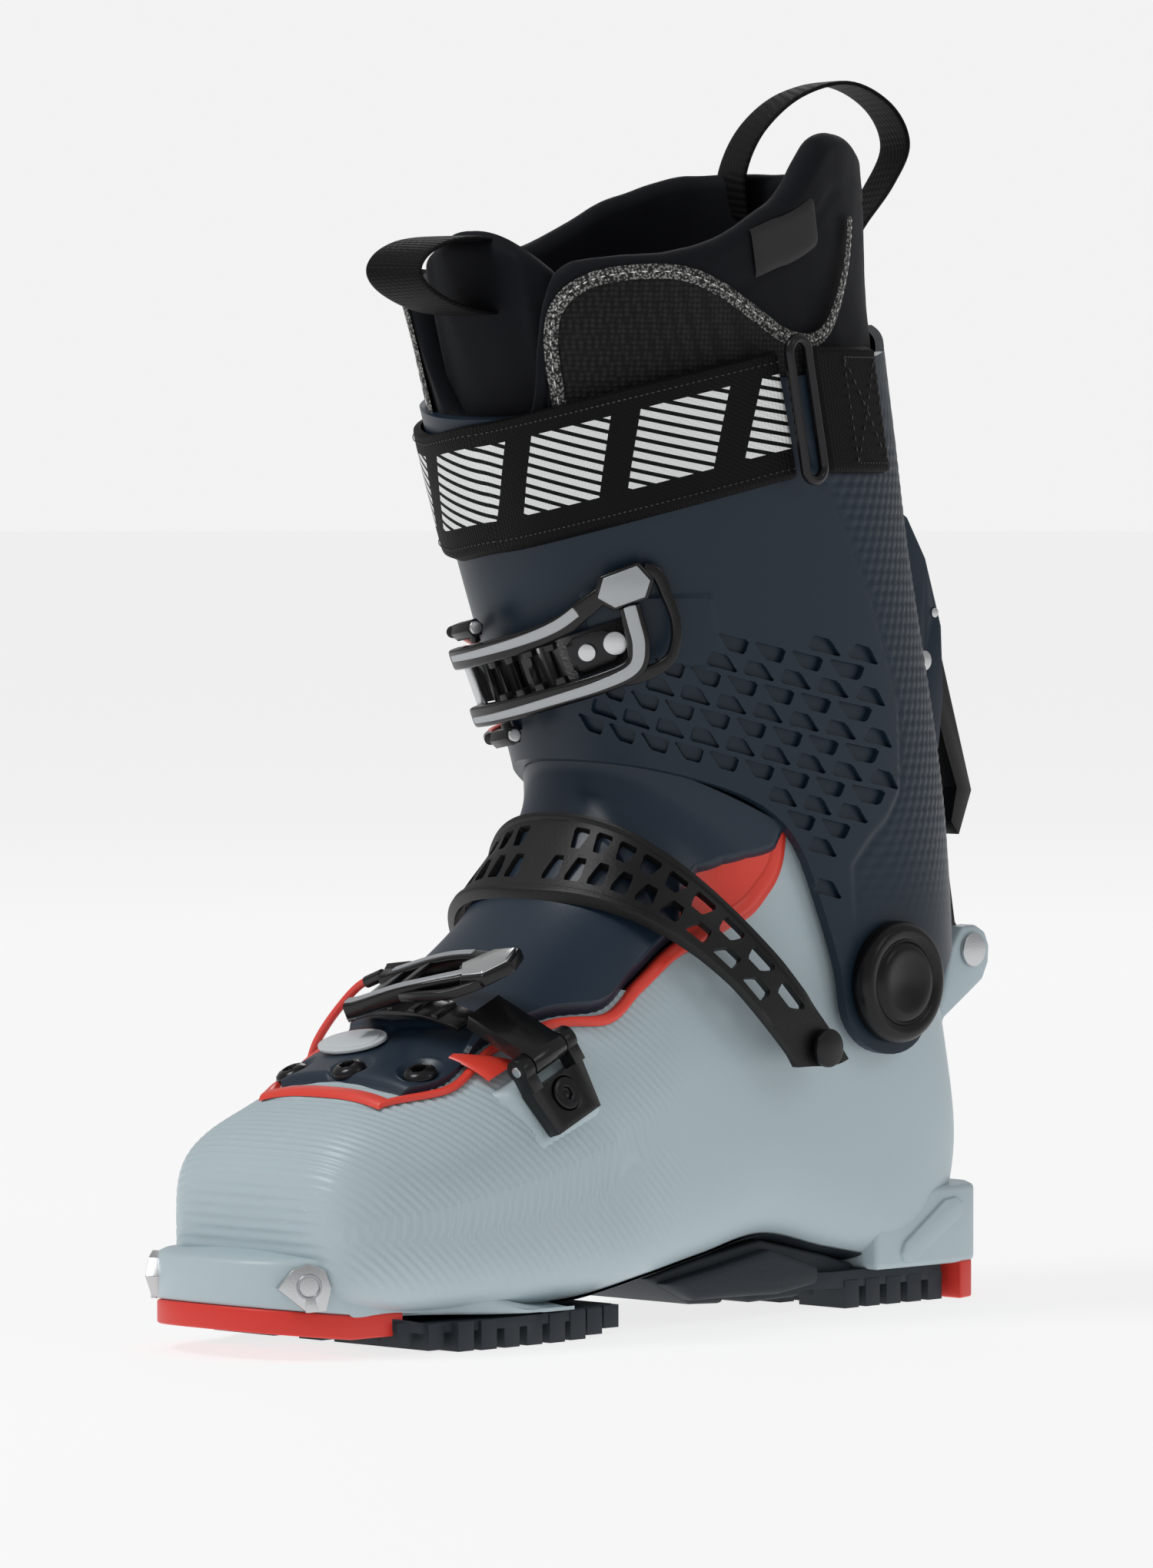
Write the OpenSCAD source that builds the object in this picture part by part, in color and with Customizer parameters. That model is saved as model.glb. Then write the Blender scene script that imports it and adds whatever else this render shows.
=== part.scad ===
// Ski touring boot, left foot. Toe towards -Y, wearer's left (outer side) towards +X, +Z up.
// The origin is on the ground, under the hinge axis of the cuff. Sizes are in millimetres.

/* [Lower shell] */
// Wall of the lower shell
shell_wall = 3.4; // [3:0.1:3.5]
// Half the width of the toe and heel ledges
ledge_half_w = 34.5; // [34:0.25:35]
// Height of the top face of the toe ledge
toe_ledge_top = 27.5; // [26:0.5:28]
// Height of the top face of the heel ledge
heel_ledge_top = 33; // [31:0.5:34]
// Radius of the toe sockets for the binding's pins
socket_r = 2.6; // [2.4:0.1:2.7]

/* [Cuff] */
// Height of the cuff's hinge axis above the ground
pivot_z = 95; // [94.5:0.25:95.5]
// Wall of the cuff
cuff_wall = 3; // [2.8:0.1:3]
// Radius of the hinge screw
pivot_r = 4; // [3.8:0.1:4.2]
// Radial clearance of a running hinge
running = 0.05; // [0.02:0.01:0.09]

/* [Liner] */
// Thickness of the liner's foam
foam = 6.5; // [6:0.5:7]
// Gap between the liner and the shell
liner_gap = 0.8; // [0.7:0.05:0.9]

/* [Buckles] */
// Width of a buckle lever
lever_w = 24; // [23:0.5:24]
// Radius of the steel cables
cable_r = 1.3; // [1.2:0.1:1.4]
// Radius of a buckle's steel cross pin
pin_r = 1.6; // [1.5:0.1:1.7]

/* [Hidden] */
$fn = 48;
heel_y = 57;
toe_y = -230;
NAVY = "#2c3c4e";
GREY = "#b8c6cd";
BLACK = "#1c1d1f";
RED = "#f0503c";
STEEL = "#b9bcbf";

// ---------- curves ----------

// Smooth value between b and c, given their neighbours
function between(a, b, c, d, u) =
    0.5 * (2 * b + (c - a) * u + (2 * a - 5 * b + 4 * c - d) * u * u + (3 * b - a - 3 * c + d) * u * u * u);

// The row of a table at t, from 0 at its first row to 1 at its last
function row_at(tab, t) =
    let (n = len(tab) - 1, s = min(max(t, 0), 1) * n, i = min(floor(s), n - 1), u = s - i)
    [for (k = [0 : len(tab[0]) - 1])
        between(tab[max(i - 1, 0)][k], tab[i][k], tab[i + 1][k], tab[min(i + 2, n)][k], u)];

// A smooth run of points through a short list of them
function smooth(pts, steps) =
    [for (i = [0 : steps * (len(pts) - 1)]) row_at(pts, i / (steps * (len(pts) - 1)))];

// A power that keeps its sign, for sections between a circle and a square
function squared(v, n) = sign(v) * pow(abs(v), 2 / n);

// n + 1 even steps from a to b
function steps(a, b, n) = [for (i = [0 : n]) a + (b - a) * i / n];

// ---------- the form of the foot ----------
// Each row is a section of the lower shell, from the toe round to the ankle: y and z of its top
// point, y and z of its bottom point, its half width, and how square its top and its bottom are.
FOOT = [
    [-222, 43, -222, 27, 21, 2.2, 2.6], [-220.5, 50, -220.5, 18, 31, 2.3, 2.9],
    [-213, 56.5, -213, 15, 37, 2.5, 3.4], [-200, 62.5, -200, 12, 41.5, 2.6, 3.6],
    [-182, 69.5, -182, 10, 45.5, 2.5, 3.6], [-162, 77.5, -160, 9, 48, 2.4, 3.4],
    [-143, 87, -136, 8.5, 49, 2.3, 3.2], [-126, 97.5, -112, 9, 48, 2.3, 3.1],
    [-112, 108, -86, 12.5, 46, 2.2, 2.9], [-101, 118, -60, 17, 44, 2.2, 2.8],
    [-93, 127.5, -34, 21, 42.5, 2.3, 2.8], [-87, 136, -6, 15, 42, 2.3, 2.9],
    [-83, 143, 22, 11, 42, 2.4, 2.8], [-80.5, 149, 44, 16, 42.3, 2.4, 2.7],
    [-79, 153.5, 52, 38, 42.6, 2.4, 2.6], [-78.5, 157, 52, 68, 42.8, 2.4, 2.5],
    [-78.5, 160, 50, 96, 42.6, 2.4, 2.4]];
FOOT_END = len(FOOT) - 1;

// A point of the foot's surface moved out by off; row counts sections from the toe, and a goes
// from 0 at the top over 90 on the outer side to 180 underneath
function foot(row, a, off) =
    let (r = row_at(FOOT, row / FOOT_END), top = [r[0], r[1]], low = [r[2], r[3]],
        half = norm(top - low) / 2, mid = (top + low) / 2, up = (top - low) / (2 * half),
        n = cos(a) > 0 ? r[5] : r[6], l = (half + off) * squared(cos(a), n))
    [(r[4] + off) * squared(sin(a), n), mid[0] + up[0] * l, mid[1] + up[1] * l];

// ---------- the form of the leg ----------
// Each row is a level of the cuff: z, y of its centre, half width, depth to the front and to the
// rear, and how square it is at the front and at the rear.
LEG = [
    [60, 0, 49.5, 58, 53, 2.4, 2.4], [95, -1, 49.5, 62, 54, 2.4, 2.4], [130, -4, 50, 72, 56, 2.4, 2.4],
    [160, -11, 51, 76, 58, 2.3, 2.4], [190, -20, 52, 78, 60, 2.3, 2.4], [220, -29, 53, 79, 62, 2.4, 2.4],
    [250, -38, 54, 80, 66, 2.4, 2.4], [290, -48, 55, 82, 69, 2.4, 2.4], [350, -60, 56, 84, 73, 2.4, 2.4]];

// Where in the table a height lies, found by halving
function leg_place(z, lo = 0, hi = 1, n = 16) =
    n == 0 ? (lo + hi) / 2 :
    let (m = (lo + hi) / 2) row_at(LEG, m)[0] < z ? leg_place(z, m, hi, n - 1) : leg_place(z, lo, m, n - 1);

// A point of the leg's surface at height z moved out by off; a is 0 in front and 90 on the outer side
function leg(z, a, off) =
    let (r = row_at(LEG, leg_place(z)), front = cos(a) > 0, n = front ? r[5] : r[6],
        depth = (front ? r[3] : r[4]) + off)
    [(r[2] + off) * squared(sin(a), n), r[1] - depth * squared(cos(a), n), z];

// ---------- closed solids from rows of points ----------
// Rows run from toe to ankle or upwards, and points within a row run round towards the outer side.

function sheet_faces(rows, n, first, wrap, inside) =
    [for (i = [0 : rows - 2], j = [0 : n - (wrap ? 1 : 2)])
        let (a = first + i * n + j, b = first + i * n + (j + 1) % n, c = b + n, d = a + n)
        each inside ? [[a, b, c], [a, c, d]] : [[a, c, b], [a, d, c]]];

function edge_faces(pairs, back) =
    [for (i = [0 : len(pairs) - 2])
        let (a = pairs[i][0], b = pairs[i + 1][0], c = pairs[i + 1][1], d = pairs[i][1])
        each back ? [[a, c, b], [a, d, c]] : [[a, b, c], [a, c, d]]];

// A wall between an outer and an inner sheet of points
module wall(outer, inner, wrap = false) {
    m = len(outer);
    n = len(outer[0]);
    o = m * n;
    columns = wrap ? [for (j = [0 : n]) j % n] : [for (j = [0 : n - 1]) j];
    polyhedron(concat([for (r = outer) each r], [for (r = inner) each r]),
        concat(sheet_faces(m, n, 0, wrap, false), sheet_faces(m, n, o, wrap, true),
            edge_faces([for (j = columns) [j, o + j]], false),
            edge_faces([for (j = columns) [(m - 1) * n + j, o + (m - 1) * n + j]], true),
            wrap ? [] : edge_faces([for (i = [0 : m - 1]) [i * n, o + i * n]], true),
            wrap ? [] : edge_faces([for (i = [0 : m - 1]) [i * n + n - 1, o + i * n + n - 1]], false)));
}

// A solid through closed rings of points
module body_of(rings) {
    m = len(rings);
    n = len(rings[0]);
    polyhedron([for (r = rings) each r], concat(sheet_faces(m, n, 0, true, false),
        [[for (j = [0 : n - 1]) j]], [[for (j = [0 : n - 1]) (m - 1) * n + n - 1 - j]]));
}

// A round tube of radius r along a list of points
module tube(path, r, sides = 8) {
    n = len(path);
    body_of([for (i = [0 : n - 1])
        let (d = path[min(i + 1, n - 1)] - path[max(i - 1, 0)], t = d / norm(d),
            ref = abs(t[2]) > 0.9 ? [0, 1, 0] : [0, 0, 1], u = cross(ref, t) / norm(cross(ref, t)), v = cross(t, u))
        [for (k = [0 : sides - 1]) path[i] + r * (cos(360 * k / sides) * u + sin(360 * k / sides) * v)]]);
}

// Takes moulded shapes as one mesh
module moulded() { resize([0, 0, 0]) children(); }

// A flat profile in the plane of the side view, y to the right and z up, from x0 to x1
module side_plate(x0, x1) { translate([x0, 0, 0]) rotate([90, 0, 90]) linear_extrude(x1 - x0) children(); }

// Both sides of the boot
module each_side() { for (s = [0, 1]) mirror([s, 0, 0]) children(); }

// ---------- lower shell ----------
ROW_STEP = 0.6;
ROUND = 40;
SHELL_END = 14.7;
THROAT_START = 3.9;
THROAT_END = 15.5;

// Half the opening angle of the throat at a section
function throat(row) = row_at([[25], [38], [34], [42], [56], [57], [59], [60], [60], [60], [60], [60], [60]],
    (row - THROAT_START) / 12)[0];

// The part of the foot's surface that lies in the throat, less margin degrees all round
module throat_form(start, end, margin, low, high) {
    rows = concat([for (r = [start : 0.1 : 4.55]) r], [for (r = [5 : 0.5 : end]) r]);
    wall([for (r = rows) [for (s = steps(-1, 1, 18)) foot(r, s * (throat(r) - margin), high)]],
        [for (r = rows) [for (s = steps(-1, 1, 18)) foot(r, s * (throat(r) - margin), low)]]);
}

module foot_solid(start, end, off) {
    body_of([for (r = [start : ROW_STEP : end]) [for (k = [0 : ROUND - 1]) foot(r, 360 * k / ROUND, off)]]);
}

// Plan outline of the toe ledge, grown by off
function toe_plan(off) = concat(
    [for (i = [0 : 24]) let (a = 180 * i / 24)
        [-(ledge_half_w + off) * squared(cos(a), 2.9), toe_y + 32 - (32 + off) * squared(sin(a), 2.5)]],
    [[ledge_half_w + off, -186], [-ledge_half_w - off, -186]]);

module heel_plan(off) {
    polygon([[-ledge_half_w - off, 20], [-ledge_half_w - off, 44], [-26, heel_y + off], [26, heel_y + off],
        [ledge_half_w + off, 44], [ledge_half_w + off, 20]]);
}

module rear_bracket_form() {
    for (x = [-14, 8]) side_plate(x, x + 6)
        polygon([[48, 28], [57, 33], [58.5, 60], [62, 80], [75, 88], [81, 95], [81, 103], [76, 107], [69, 107],
            [65, 100], [61.5, 88], [57, 78], [46, 62]]);
    side_plate(-14, 14) polygon([[48, 28], [57, 33], [58.5, 60], [61, 76], [57, 76], [50, 66], [44, 40]]);
}

// The wedge under the toe ledge that the bumper fills
module bumper_space(top) {
    side_plate(-60, 60) polygon([[-240, 0], [-202.7 - top, 0], [-202.7 - top, 11.9 - top], [-215, 13.3 - top],
        [-240, 15.9 - top]]);
}

module lower_shell() {
    color(GREY) moulded() difference() {
        union() {
            foot_solid(-0.3, SHELL_END + 0.01, 0);
            translate([0, 0, 11]) linear_extrude(toe_ledge_top - 11) polygon(toe_plan(0));
            translate([0, 0, 11]) linear_extrude(heel_ledge_top - 11) heel_plan(0);
            rear_bracket_form();
            catch_pad();
        }
        foot_solid(2.4, 15.7, -shell_wall);
        bumper_space(0);
        throat_form(THROAT_START, THROAT_END, 0, -8, 12);
        // bores for the hinge screws, the strap's rivets, the bracket pin and the toe fitting
        translate([-60, 0, pivot_z]) rotate([0, 90, 0]) cylinder(h = 120, r = pivot_r + 0.3);
        translate([-42, 0, pivot_z]) rotate([0, 90, 0]) cylinder(h = 84, r = 7.3);
        translate([-60, 74, 100]) rotate([0, 90, 0]) cylinder(h = 120, r = 2.6);
        toe_fitting_form(0.1);
        heel_fitting_form(0.1);
        for (s = [-1, 1]) translate([s * 30, RIVET[1], RIVET[2]]) rotate([0, s * 90, 0]) cylinder(h = 30, r = 2.2);
        in_plate() translate([-20, 0, 8]) rotate([0, 90, 0]) cylinder(h = 30, r = 2.2);
    }
}

module toe_bumper() {
    color(RED) intersection() {
        translate([0, 0, 7.8]) linear_extrude(9) polygon(toe_plan(0.5));
        bumper_space(0.2);
    }
}

// One block of a tread: a lug at [x, y] with its size and heights
module lug(x, y, sx, sy, z0, z1) { translate([x - sx / 2, y - sy / 2, z0]) cube([sx, sy, z1 - z0]); }

// Height of the forefoot tread's lower face, which curls up towards the toe
function rocker(y) = y < -160 ? pow((-160 - y) / 43, 2) * 6.5 : (y > -128 ? pow((y + 128) / 28, 2) * 2.5 : 0);

TREAD_OUTLINE = [[-29, -202], [-38, -180], [-42.5, -150], [-41, -125], [-35, -101],
    [34, -101], [41, -125], [42.5, -150], [38, -180], [29, -202]];

module forefoot_tread() {
    color("#20303c") union() {
        difference() {
            translate([0, 0, 5.5]) linear_extrude(2.8) polygon(TREAD_OUTLINE);
            translate([-60, -215, 5.4]) cube([120, 35, 3.4]);
        }
        intersection() {
            side_plate(-60, 60) polygon([[-202.5, 8.6], [-202.5, 10.8], [-194, 10.8], [-184, 9.4], [-179, 8.3],
                [-179, 5.4]]);
            linear_extrude(20) polygon(TREAD_OUTLINE);
        }
        for (i = [0 : 10], s = [-1, 1]) {
            y = -194 + 9 * i;
            reach = min(42, 31 + (y + 200) * 0.35, 42 - max(0, y + 125) * 0.25);
            lug(s * (reach - 9), y, 18, 6, rocker(y), 8.2 + max(0, -181 - y) * 0.17);
            if (i % 2 == 0) lug(s * 7, y, 9, 6, rocker(y), 8);
        }
    }
}

module heel_tread() {
    color("#20303c") union() {
        difference() {
            translate([0, 0, 6]) linear_extrude(4.8) polygon([[-33, -8], [-33.5, 38.5], [33.5, 38.5], [33, -8],
                [26, -22], [-26, -22]]);
            heel_fitting_form(0.3);
        }
        for (i = [0 : 4], s = [-1, 1]) lug(s * 24.5, 2 + 9 * i - 2, 18, 6, 0, 8);
        for (i = [0 : 1]) lug(0, 9 * i, 16, 6, 0, 8);
        for (s = [-1, 1]) lug(s * 20, -14, 16, 7, 4, 9);
    }
}

module heel_block() {
    color(RED) difference() {
        intersection() {
            linear_extrude(10.8) heel_plan(0.5);
            translate([-50, 39, 0]) cube([100, 30, 20]);
        }
        translate([-8, 38, -1]) cube([16, 7, 6]);
        heel_fitting_form(0.3);
    }
}

FITTING = [-217, 20.5];
FITTING_HALF = 29.5;

module toe_fitting_form(grow) {
    translate([0, FITTING[0], FITTING[1]]) rotate([0, 90, 0]) {
        cylinder(h = 2 * (FITTING_HALF + grow), r = 4.8 + grow, center = true);
        for (s = [0, 180]) rotate([s, 0, 0]) translate([0, 0, FITTING_HALF]) cylinder(h = 10, r1 = 4, r2 = 7);
    }
}

module toe_fitting() {
    color(STEEL) translate([0, FITTING[0], FITTING[1]]) rotate([0, 90, 0]) difference() {
        cylinder(h = 2 * FITTING_HALF, r = 4.8, center = true);
        for (s = [-1, 1]) translate([0, 0, s * (FITTING_HALF - 5) - 5]) cylinder(h = 10, r = socket_r);
    }
}

module heel_fitting_form(grow) {
    translate([-11 - grow, 47 - grow, 13 - grow]) cube([22 + 2 * grow, 12, 15 + 2 * grow]);
}

module heel_fitting() {
    color(STEEL) difference() {
        translate([-11, 47, 13]) cube([22, 10, 15]);
        for (s = [-1, 1]) translate([s * 7 - 1.8, 52, 12]) cube([3.6, 6, 10]);
        translate([0, 58, 20]) rotate([90, 0, 0]) cylinder(h = 8, r = 2.1);
    }
}

module throat_gasket() {
    color(RED) moulded() difference() {
        throat_form(THROAT_START + 0.1, 13.5, 0.9, -shell_wall, 1.1);
        throat_form(THROAT_START + 0.27, THROAT_END, 4.7, -9, 9);
    }
}

// ---------- instep overlap ----------
OVERLAP_END = 13;
SCREW_PLACES = [[-26, 4.75], [-1, 4.62], [22, 4.85]];

// Turns its children to stand on the instep at x and at a section of the foot
module on_instep(x, row, off) {
    a = asin(squared(x / (row_at(FOOT, row / FOOT_END)[4] + off), 4 / row_at(FOOT, row / FOOT_END)[5]));
    p = foot(row, a, off);
    translate(p) rotate([24, a * 0.35, 0]) children();
}

module instep_overlap() {
    color(NAVY) moulded() difference() {
        throat_form(THROAT_START + 0.4, OVERLAP_END, 5.6, -0.8, 2.4);
        for (s = SCREW_PLACES) on_instep(s[0], s[1], 0) translate([0, 0, 0.8]) cylinder(h = 8, r = 5.4, $fn = 24);
    }
}

module overlap_screws() {
    color(BLACK) for (s = SCREW_PLACES) on_instep(s[0], s[1], 0) difference() {
        translate([0, 0, 1.3]) cylinder(h = 2.2, r = 4.9);
        translate([0, 0, 2.2]) cylinder(h = 3, r = 2, $fn = 6);
    }
}

module overlap_badge() {
    color("#c9d2d6") on_instep(-8, 5.35, 2.4) translate([0, 0, 0.9]) linear_extrude(0.7)
        scale([1.5, 1, 1]) circle(r = 7);
}

// ---------- instep strap ----------
RIVET = [54, -36, 78];

module instep_strap() {
    angles = steps(-96, 96, 40);
    function low_row(a) = 8.9 + 2.2 * pow(abs(a) / 96, 1.6);
    function high_row(a) = 11.6 + 0.7 * pow(abs(a) / 96, 2);
    function rise(a) = 2.9 + 7.6 * pow(min(1, abs(a) / 74), 1.5);
    rows = steps(0, 1, 8);
    color(BLACK) moulded() difference() {
        wall([for (u = rows) [for (a = angles) foot(low_row(a) + u * (high_row(a) - low_row(a)), a, rise(a) + 2.6)]],
            [for (u = rows) [for (a = angles) foot(low_row(a) + u * (high_row(a) - low_row(a)), a, rise(a))]]);
        for (s = [-1, 1]) translate([s * 30, RIVET[1], RIVET[2]]) rotate([0, s * 90, 0]) cylinder(h = 40, r = 2.8);
    }
}

module strap_rivets() {
    color(BLACK) for (s = [-1, 1]) translate([0, RIVET[1], RIVET[2]]) rotate([0, s * 90, 0]) {
        translate([0, 0, 40]) cylinder(h = 17, r = 2.1);
        translate([0, 0, 56]) cylinder(h = 2, r = 5.5);
    }
}

// ---------- catch of the instep buckle ----------
// The buckle's frame: x across the foot, y along the instep towards the ankle, z out of it.
CATCH_PIN = [3.4, 0, 22];
RING_R = 64.8;

module in_catch() { translate([0, -145, 88]) rotate([24, 0, 0]) children(); }

// The catch's plate leans in with the shell's side: x out of it, y along the foot, z up it
module in_plate() { in_catch() translate([49.4, 0, -30]) rotate([0, -16, 0]) children(); }

module catch_pad() {
    in_plate() translate([-9, -13, -9]) cube([8.7, 26, 25]);
}

module catch_base() {
    color(BLACK) in_plate() difference() {
        union() {
            translate([0, -11, -6]) cube([4.6, 22, 21]);
            for (y = [-11, 7]) {
                translate(CATCH_PIN + [0, y, 0]) rotate([-90, 0, 0]) cylinder(h = 4, r = 3.6);
                translate([0.4, y, 14]) cube([5.6, 4, 7.5]);
            }
        }
        translate(CATCH_PIN + [0, -20, 0]) rotate([-90, 0, 0]) cylinder(h = 40, r = pin_r);
        translate([-5, 0, 8]) rotate([0, 90, 0]) cylinder(h = 20, r = 2.2);
        translate([3, 0, 8]) rotate([0, 90, 0]) cylinder(h = 8, r = 5);
    }
}

module catch_screw() {
    color(BLACK) in_plate() translate([0, 0, 8]) rotate([0, 90, 0]) difference() {
        union() {
            translate([0, 0, -4]) cylinder(h = 8, r = 2);
            translate([0, 0, 3.1]) cylinder(h = 2.2, r = 4.6);
        }
        translate([0, 0, 4]) cylinder(h = 3, r = 2, $fn = 6);
    }
}

module catch_pins() {
    color(STEEL) in_plate() translate(CATCH_PIN + [0, -11.4, 0]) rotate([-90, 0, 0]) cylinder(h = 22.8, r = pin_r - running);
}

// ---------- hinge of the cuff ----------
module hinge_screws() {
    color(STEEL) each_side() translate([0, 0, pivot_z]) rotate([0, 90, 0]) {
        translate([0, 0, 40.4]) cylinder(h = 12, r = pivot_r);
        translate([0, 0, 40.4]) cylinder(h = 1.4, r = 7);
        translate([0, 0, 51.4]) cylinder(h = 1.8, r = 7.5);
    }
}

module bracket_pin() {
    color(STEEL) translate([-15, 74, 100]) rotate([0, 90, 0]) union() {
        cylinder(h = 30, r = 2.5);
        cylinder(h = 1, r = 5);
        translate([0, 0, 29]) cylinder(h = 1.4, r = 5);
    }
}

// ---------- inner boot, foot part ----------
module inner_boot_foot() {
    color("#26272a") moulded() difference() {
        foot_solid(3, 14.5, -shell_wall - liner_gap);
        foot_solid(3.3, 15.7, -shell_wall - liner_gap - foam);
    }
}

module footbed() {
    color("#3c4a58") moulded() intersection() {
        foot_solid(3.9, 13, -shell_wall - liner_gap - foam - 1.2);
        side_plate(-40, 40) polygon([[-205, 10], [-205, 27], [-150, 24], [-110, 26], [-60, 33], [-20, 34],
            [20, 28], [45, 33], [45, 10]]);
    }
}

// The hook on the inner side that holds the instep buckle's cable
module inner_hook() {
    color(BLACK) mirror([1, 0, 0]) in_plate() difference() {
        translate([0, -6, -2]) cube([5.4, 12, 13]);
        translate([2.4, -7, 5]) cube([5, 14, 3.4]);
    }
}

// ---------- cuff ----------
CUFF_SIDE = concat(
    smooth([[-112, 163], [-92, 161], [-72, 156], [-50, 147], [-37, 135], [-28, 117], [-21, 99], [-18, 85],
        [-11, 77], [0, 74.2], [11, 77.5], [20, 88], [32, 100], [46, 105], [60, 106]], 3),
    [[90, 110], [90, 286], [16, 284], [2, 276], [-40, 269], [-80, 266], [-108, 260], [-126, 254], [-150, 253]]);

module leg_tube(z0, z1, off, thick, levels) {
    zs = steps(z0, z1, levels);
    wall([for (z = zs) [for (k = [0 : ROUND - 1]) leg(z, 360 * k / ROUND, off)]],
        [for (z = zs) [for (k = [0 : ROUND - 1]) leg(z, 360 * k / ROUND, off - thick)]], true);
}

module cuff() {
    color(NAVY) moulded() difference() {
        intersection() {
            leg_tube(64, 292, 0, cuff_wall, 18);
            side_plate(-80, 80) polygon(CUFF_SIDE);
        }
        translate([-60, 0, pivot_z]) rotate([0, 90, 0]) cylinder(h = 120, r = 9.1);
        in_ladder() for (f = LADDER_FIXINGS) at_angle(f) cylinder(h = 60, r = 1.6, $fn = 16);
    }
}

module hinge_bushes() {
    color("#2b2c2e") each_side() translate([0, 0, pivot_z]) rotate([0, 90, 0]) difference() {
        union() {
            translate([0, 0, 45.6]) cylinder(h = 5.4, r = 9);
            translate([0, 0, 50]) cylinder(h = 1, r = 11);
        }
        cylinder(h = 80, r = pivot_r + running);
    }
}

module hinge_caps() {
    color(BLACK) each_side() translate([0, 0, pivot_z]) rotate([0, 90, 0]) rotate_extrude()
        polygon([[8.5, 51.4], [11.4, 51.4], [12, 50.4], [17.5, 50.4], [17.5, 52.4], [16, 54.6], [13, 54.8], [11.5, 53.6],
            [8.5, 53.2]]);
}

// Housing on the cuff's rear that holds the walk lever
module spine_housing() {
    color(NAVY) difference() {
        side_plate(-15, 15) polygon([[38.5, 224], [44, 214], [49, 196], [52, 176], [54.5, 160], [58, 160],
            [60, 176], [59, 196], [52, 216], [44, 228], [37, 232]]);
        side_plate(-9.5, 9.5) polygon([[53.2, 150], [53.6, 176], [52, 196], [49, 214], [80, 214], [80, 150]]);
        translate([-30, 56, 200]) rotate([0, 90, 0]) cylinder(h = 60, r = 1.5 + running);
        translate([11, 50.5, 186]) rotate([0, 90, 0]) cylinder(h = 10, r = 1.6);
    }
}

module housing_rivet() {
    color(STEEL) translate([13, 50.5, 186]) rotate([0, 90, 0]) union() {
        cylinder(h = 2.4, r = 1.5);
        translate([0, 0, 2.2]) cylinder(h = 1.2, r = 3);
    }
}

// ---------- upper buckle ----------
// Its frame: the centre of the arc on which ladder and lever lie, x along the arc, y up, z outwards.
LADDER_FIXINGS = [28, 38];
LADDER_R = 46.2;
LEVER_R = 50.8;
PIN_ANGLE = -24;

module in_ladder() { translate([0, -56, 198]) rotate([106, 0, 0]) rotate([0, 0, 12]) children(); }

module at_angle(a) { rotate([0, a, 0]) children(); }

// Flat sector of a ring between two angles from the z axis, for extruding along y
module arc_plate(r0, r1, a0, a1, w) {
    rotate([90, 0, 0]) translate([0, 0, -w / 2]) linear_extrude(w) polygon(concat(
        [for (a = steps(a0, a1, 24)) r1 * [sin(a), cos(a)]], [for (a = steps(a1, a0, 24)) r0 * [sin(a), cos(a)]]));
}

module cuff_ladder() {
    color(BLACK) in_ladder() difference() {
        union() {
            arc_plate(LADDER_R, LADDER_R + 1.6, -36, 45, 12);
            for (i = [0 : 6]) if (i != 1) at_angle(-34 + 8 * i) translate([-1, -6, LADDER_R + 1]) cube([2, 12, 2]);
        }
        for (f = LADDER_FIXINGS) at_angle(f) cylinder(h = 60, r = 1.6);
    }
}

module ladder_screws() {
    color(STEEL) in_ladder() for (f = LADDER_FIXINGS) at_angle(f) {
        translate([0, 0, LADDER_R - 3.4]) cylinder(h = 5.5, r = 1.5);
        translate([0, 0, LADDER_R + 1.7]) cylinder(h = 1.6, r = f == 28 ? 2.6 : 3.4);
    }
}

module cuff_lever() {
    color(BLACK) in_ladder() difference() {
        union() {
            arc_plate(LEVER_R, LEVER_R + 4.6, PIN_ANGLE - 6, 56, lever_w);
            intersection() {
                arc_plate(LEVER_R, LEVER_R + 4.6, 34, 56, 50);
                translate([0, 4, 0]) cube([80, 15, 80]);
            }
            arc_plate(LEVER_R + 1, LEVER_R + 4.6, 51, 64, 22);
        }
        // the window between the two arms, and the finger loop
        arc_plate(LEVER_R - 2, LEVER_R + 8, PIN_ANGLE - 8, 42, 13);
        arc_plate(LEVER_R - 2, LEVER_R + 8, 52, 60, 13);
        at_angle(PIN_ANGLE) translate([0, -40, LEVER_R + 0.6]) rotate([-90, 0, 0]) cylinder(h = 80, r = pin_r);
        arc_plate(LEVER_R + 4, LEVER_R + 8, PIN_ANGLE - 2, 54, 18);
    }
}

module cuff_lever_inlay() {
    color("#aeb3b8") in_ladder() difference() {
        arc_plate(LEVER_R + 4.05, LEVER_R + 4.8, PIN_ANGLE - 1, 53, 17.6);
        arc_plate(LEVER_R - 2, LEVER_R + 8, PIN_ANGLE - 8, 42.2, 13.4);
        arc_plate(LEVER_R - 2, LEVER_R + 8, 51.8, 60, 13.4);
    }
}

module cuff_lever_pin() {
    color(STEEL) in_ladder() at_angle(PIN_ANGLE) translate([0, -11.6, LEVER_R + 0.6]) rotate([-90, 0, 0])
        cylinder(h = 23.2, r = pin_r - running);
}

// Hexagonal adjusters beside the lever's arms, into which the cables are screwed
module cuff_adjusters() {
    color(BLACK) in_ladder() for (s = [-1, 1]) at_angle(-12) {
        translate([-6, s * 16.2, LEVER_R + 1.5]) rotate([0, 90, 0]) cylinder(h = 9, r = 2.8, $fn = 6);
        translate([1, s * 16.2 - 0.2 * s, LEVER_R + 1.5]) rotate([s * 90, 0, 0]) cylinder(h = 3.8, r = 1.4);
    }
}

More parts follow.
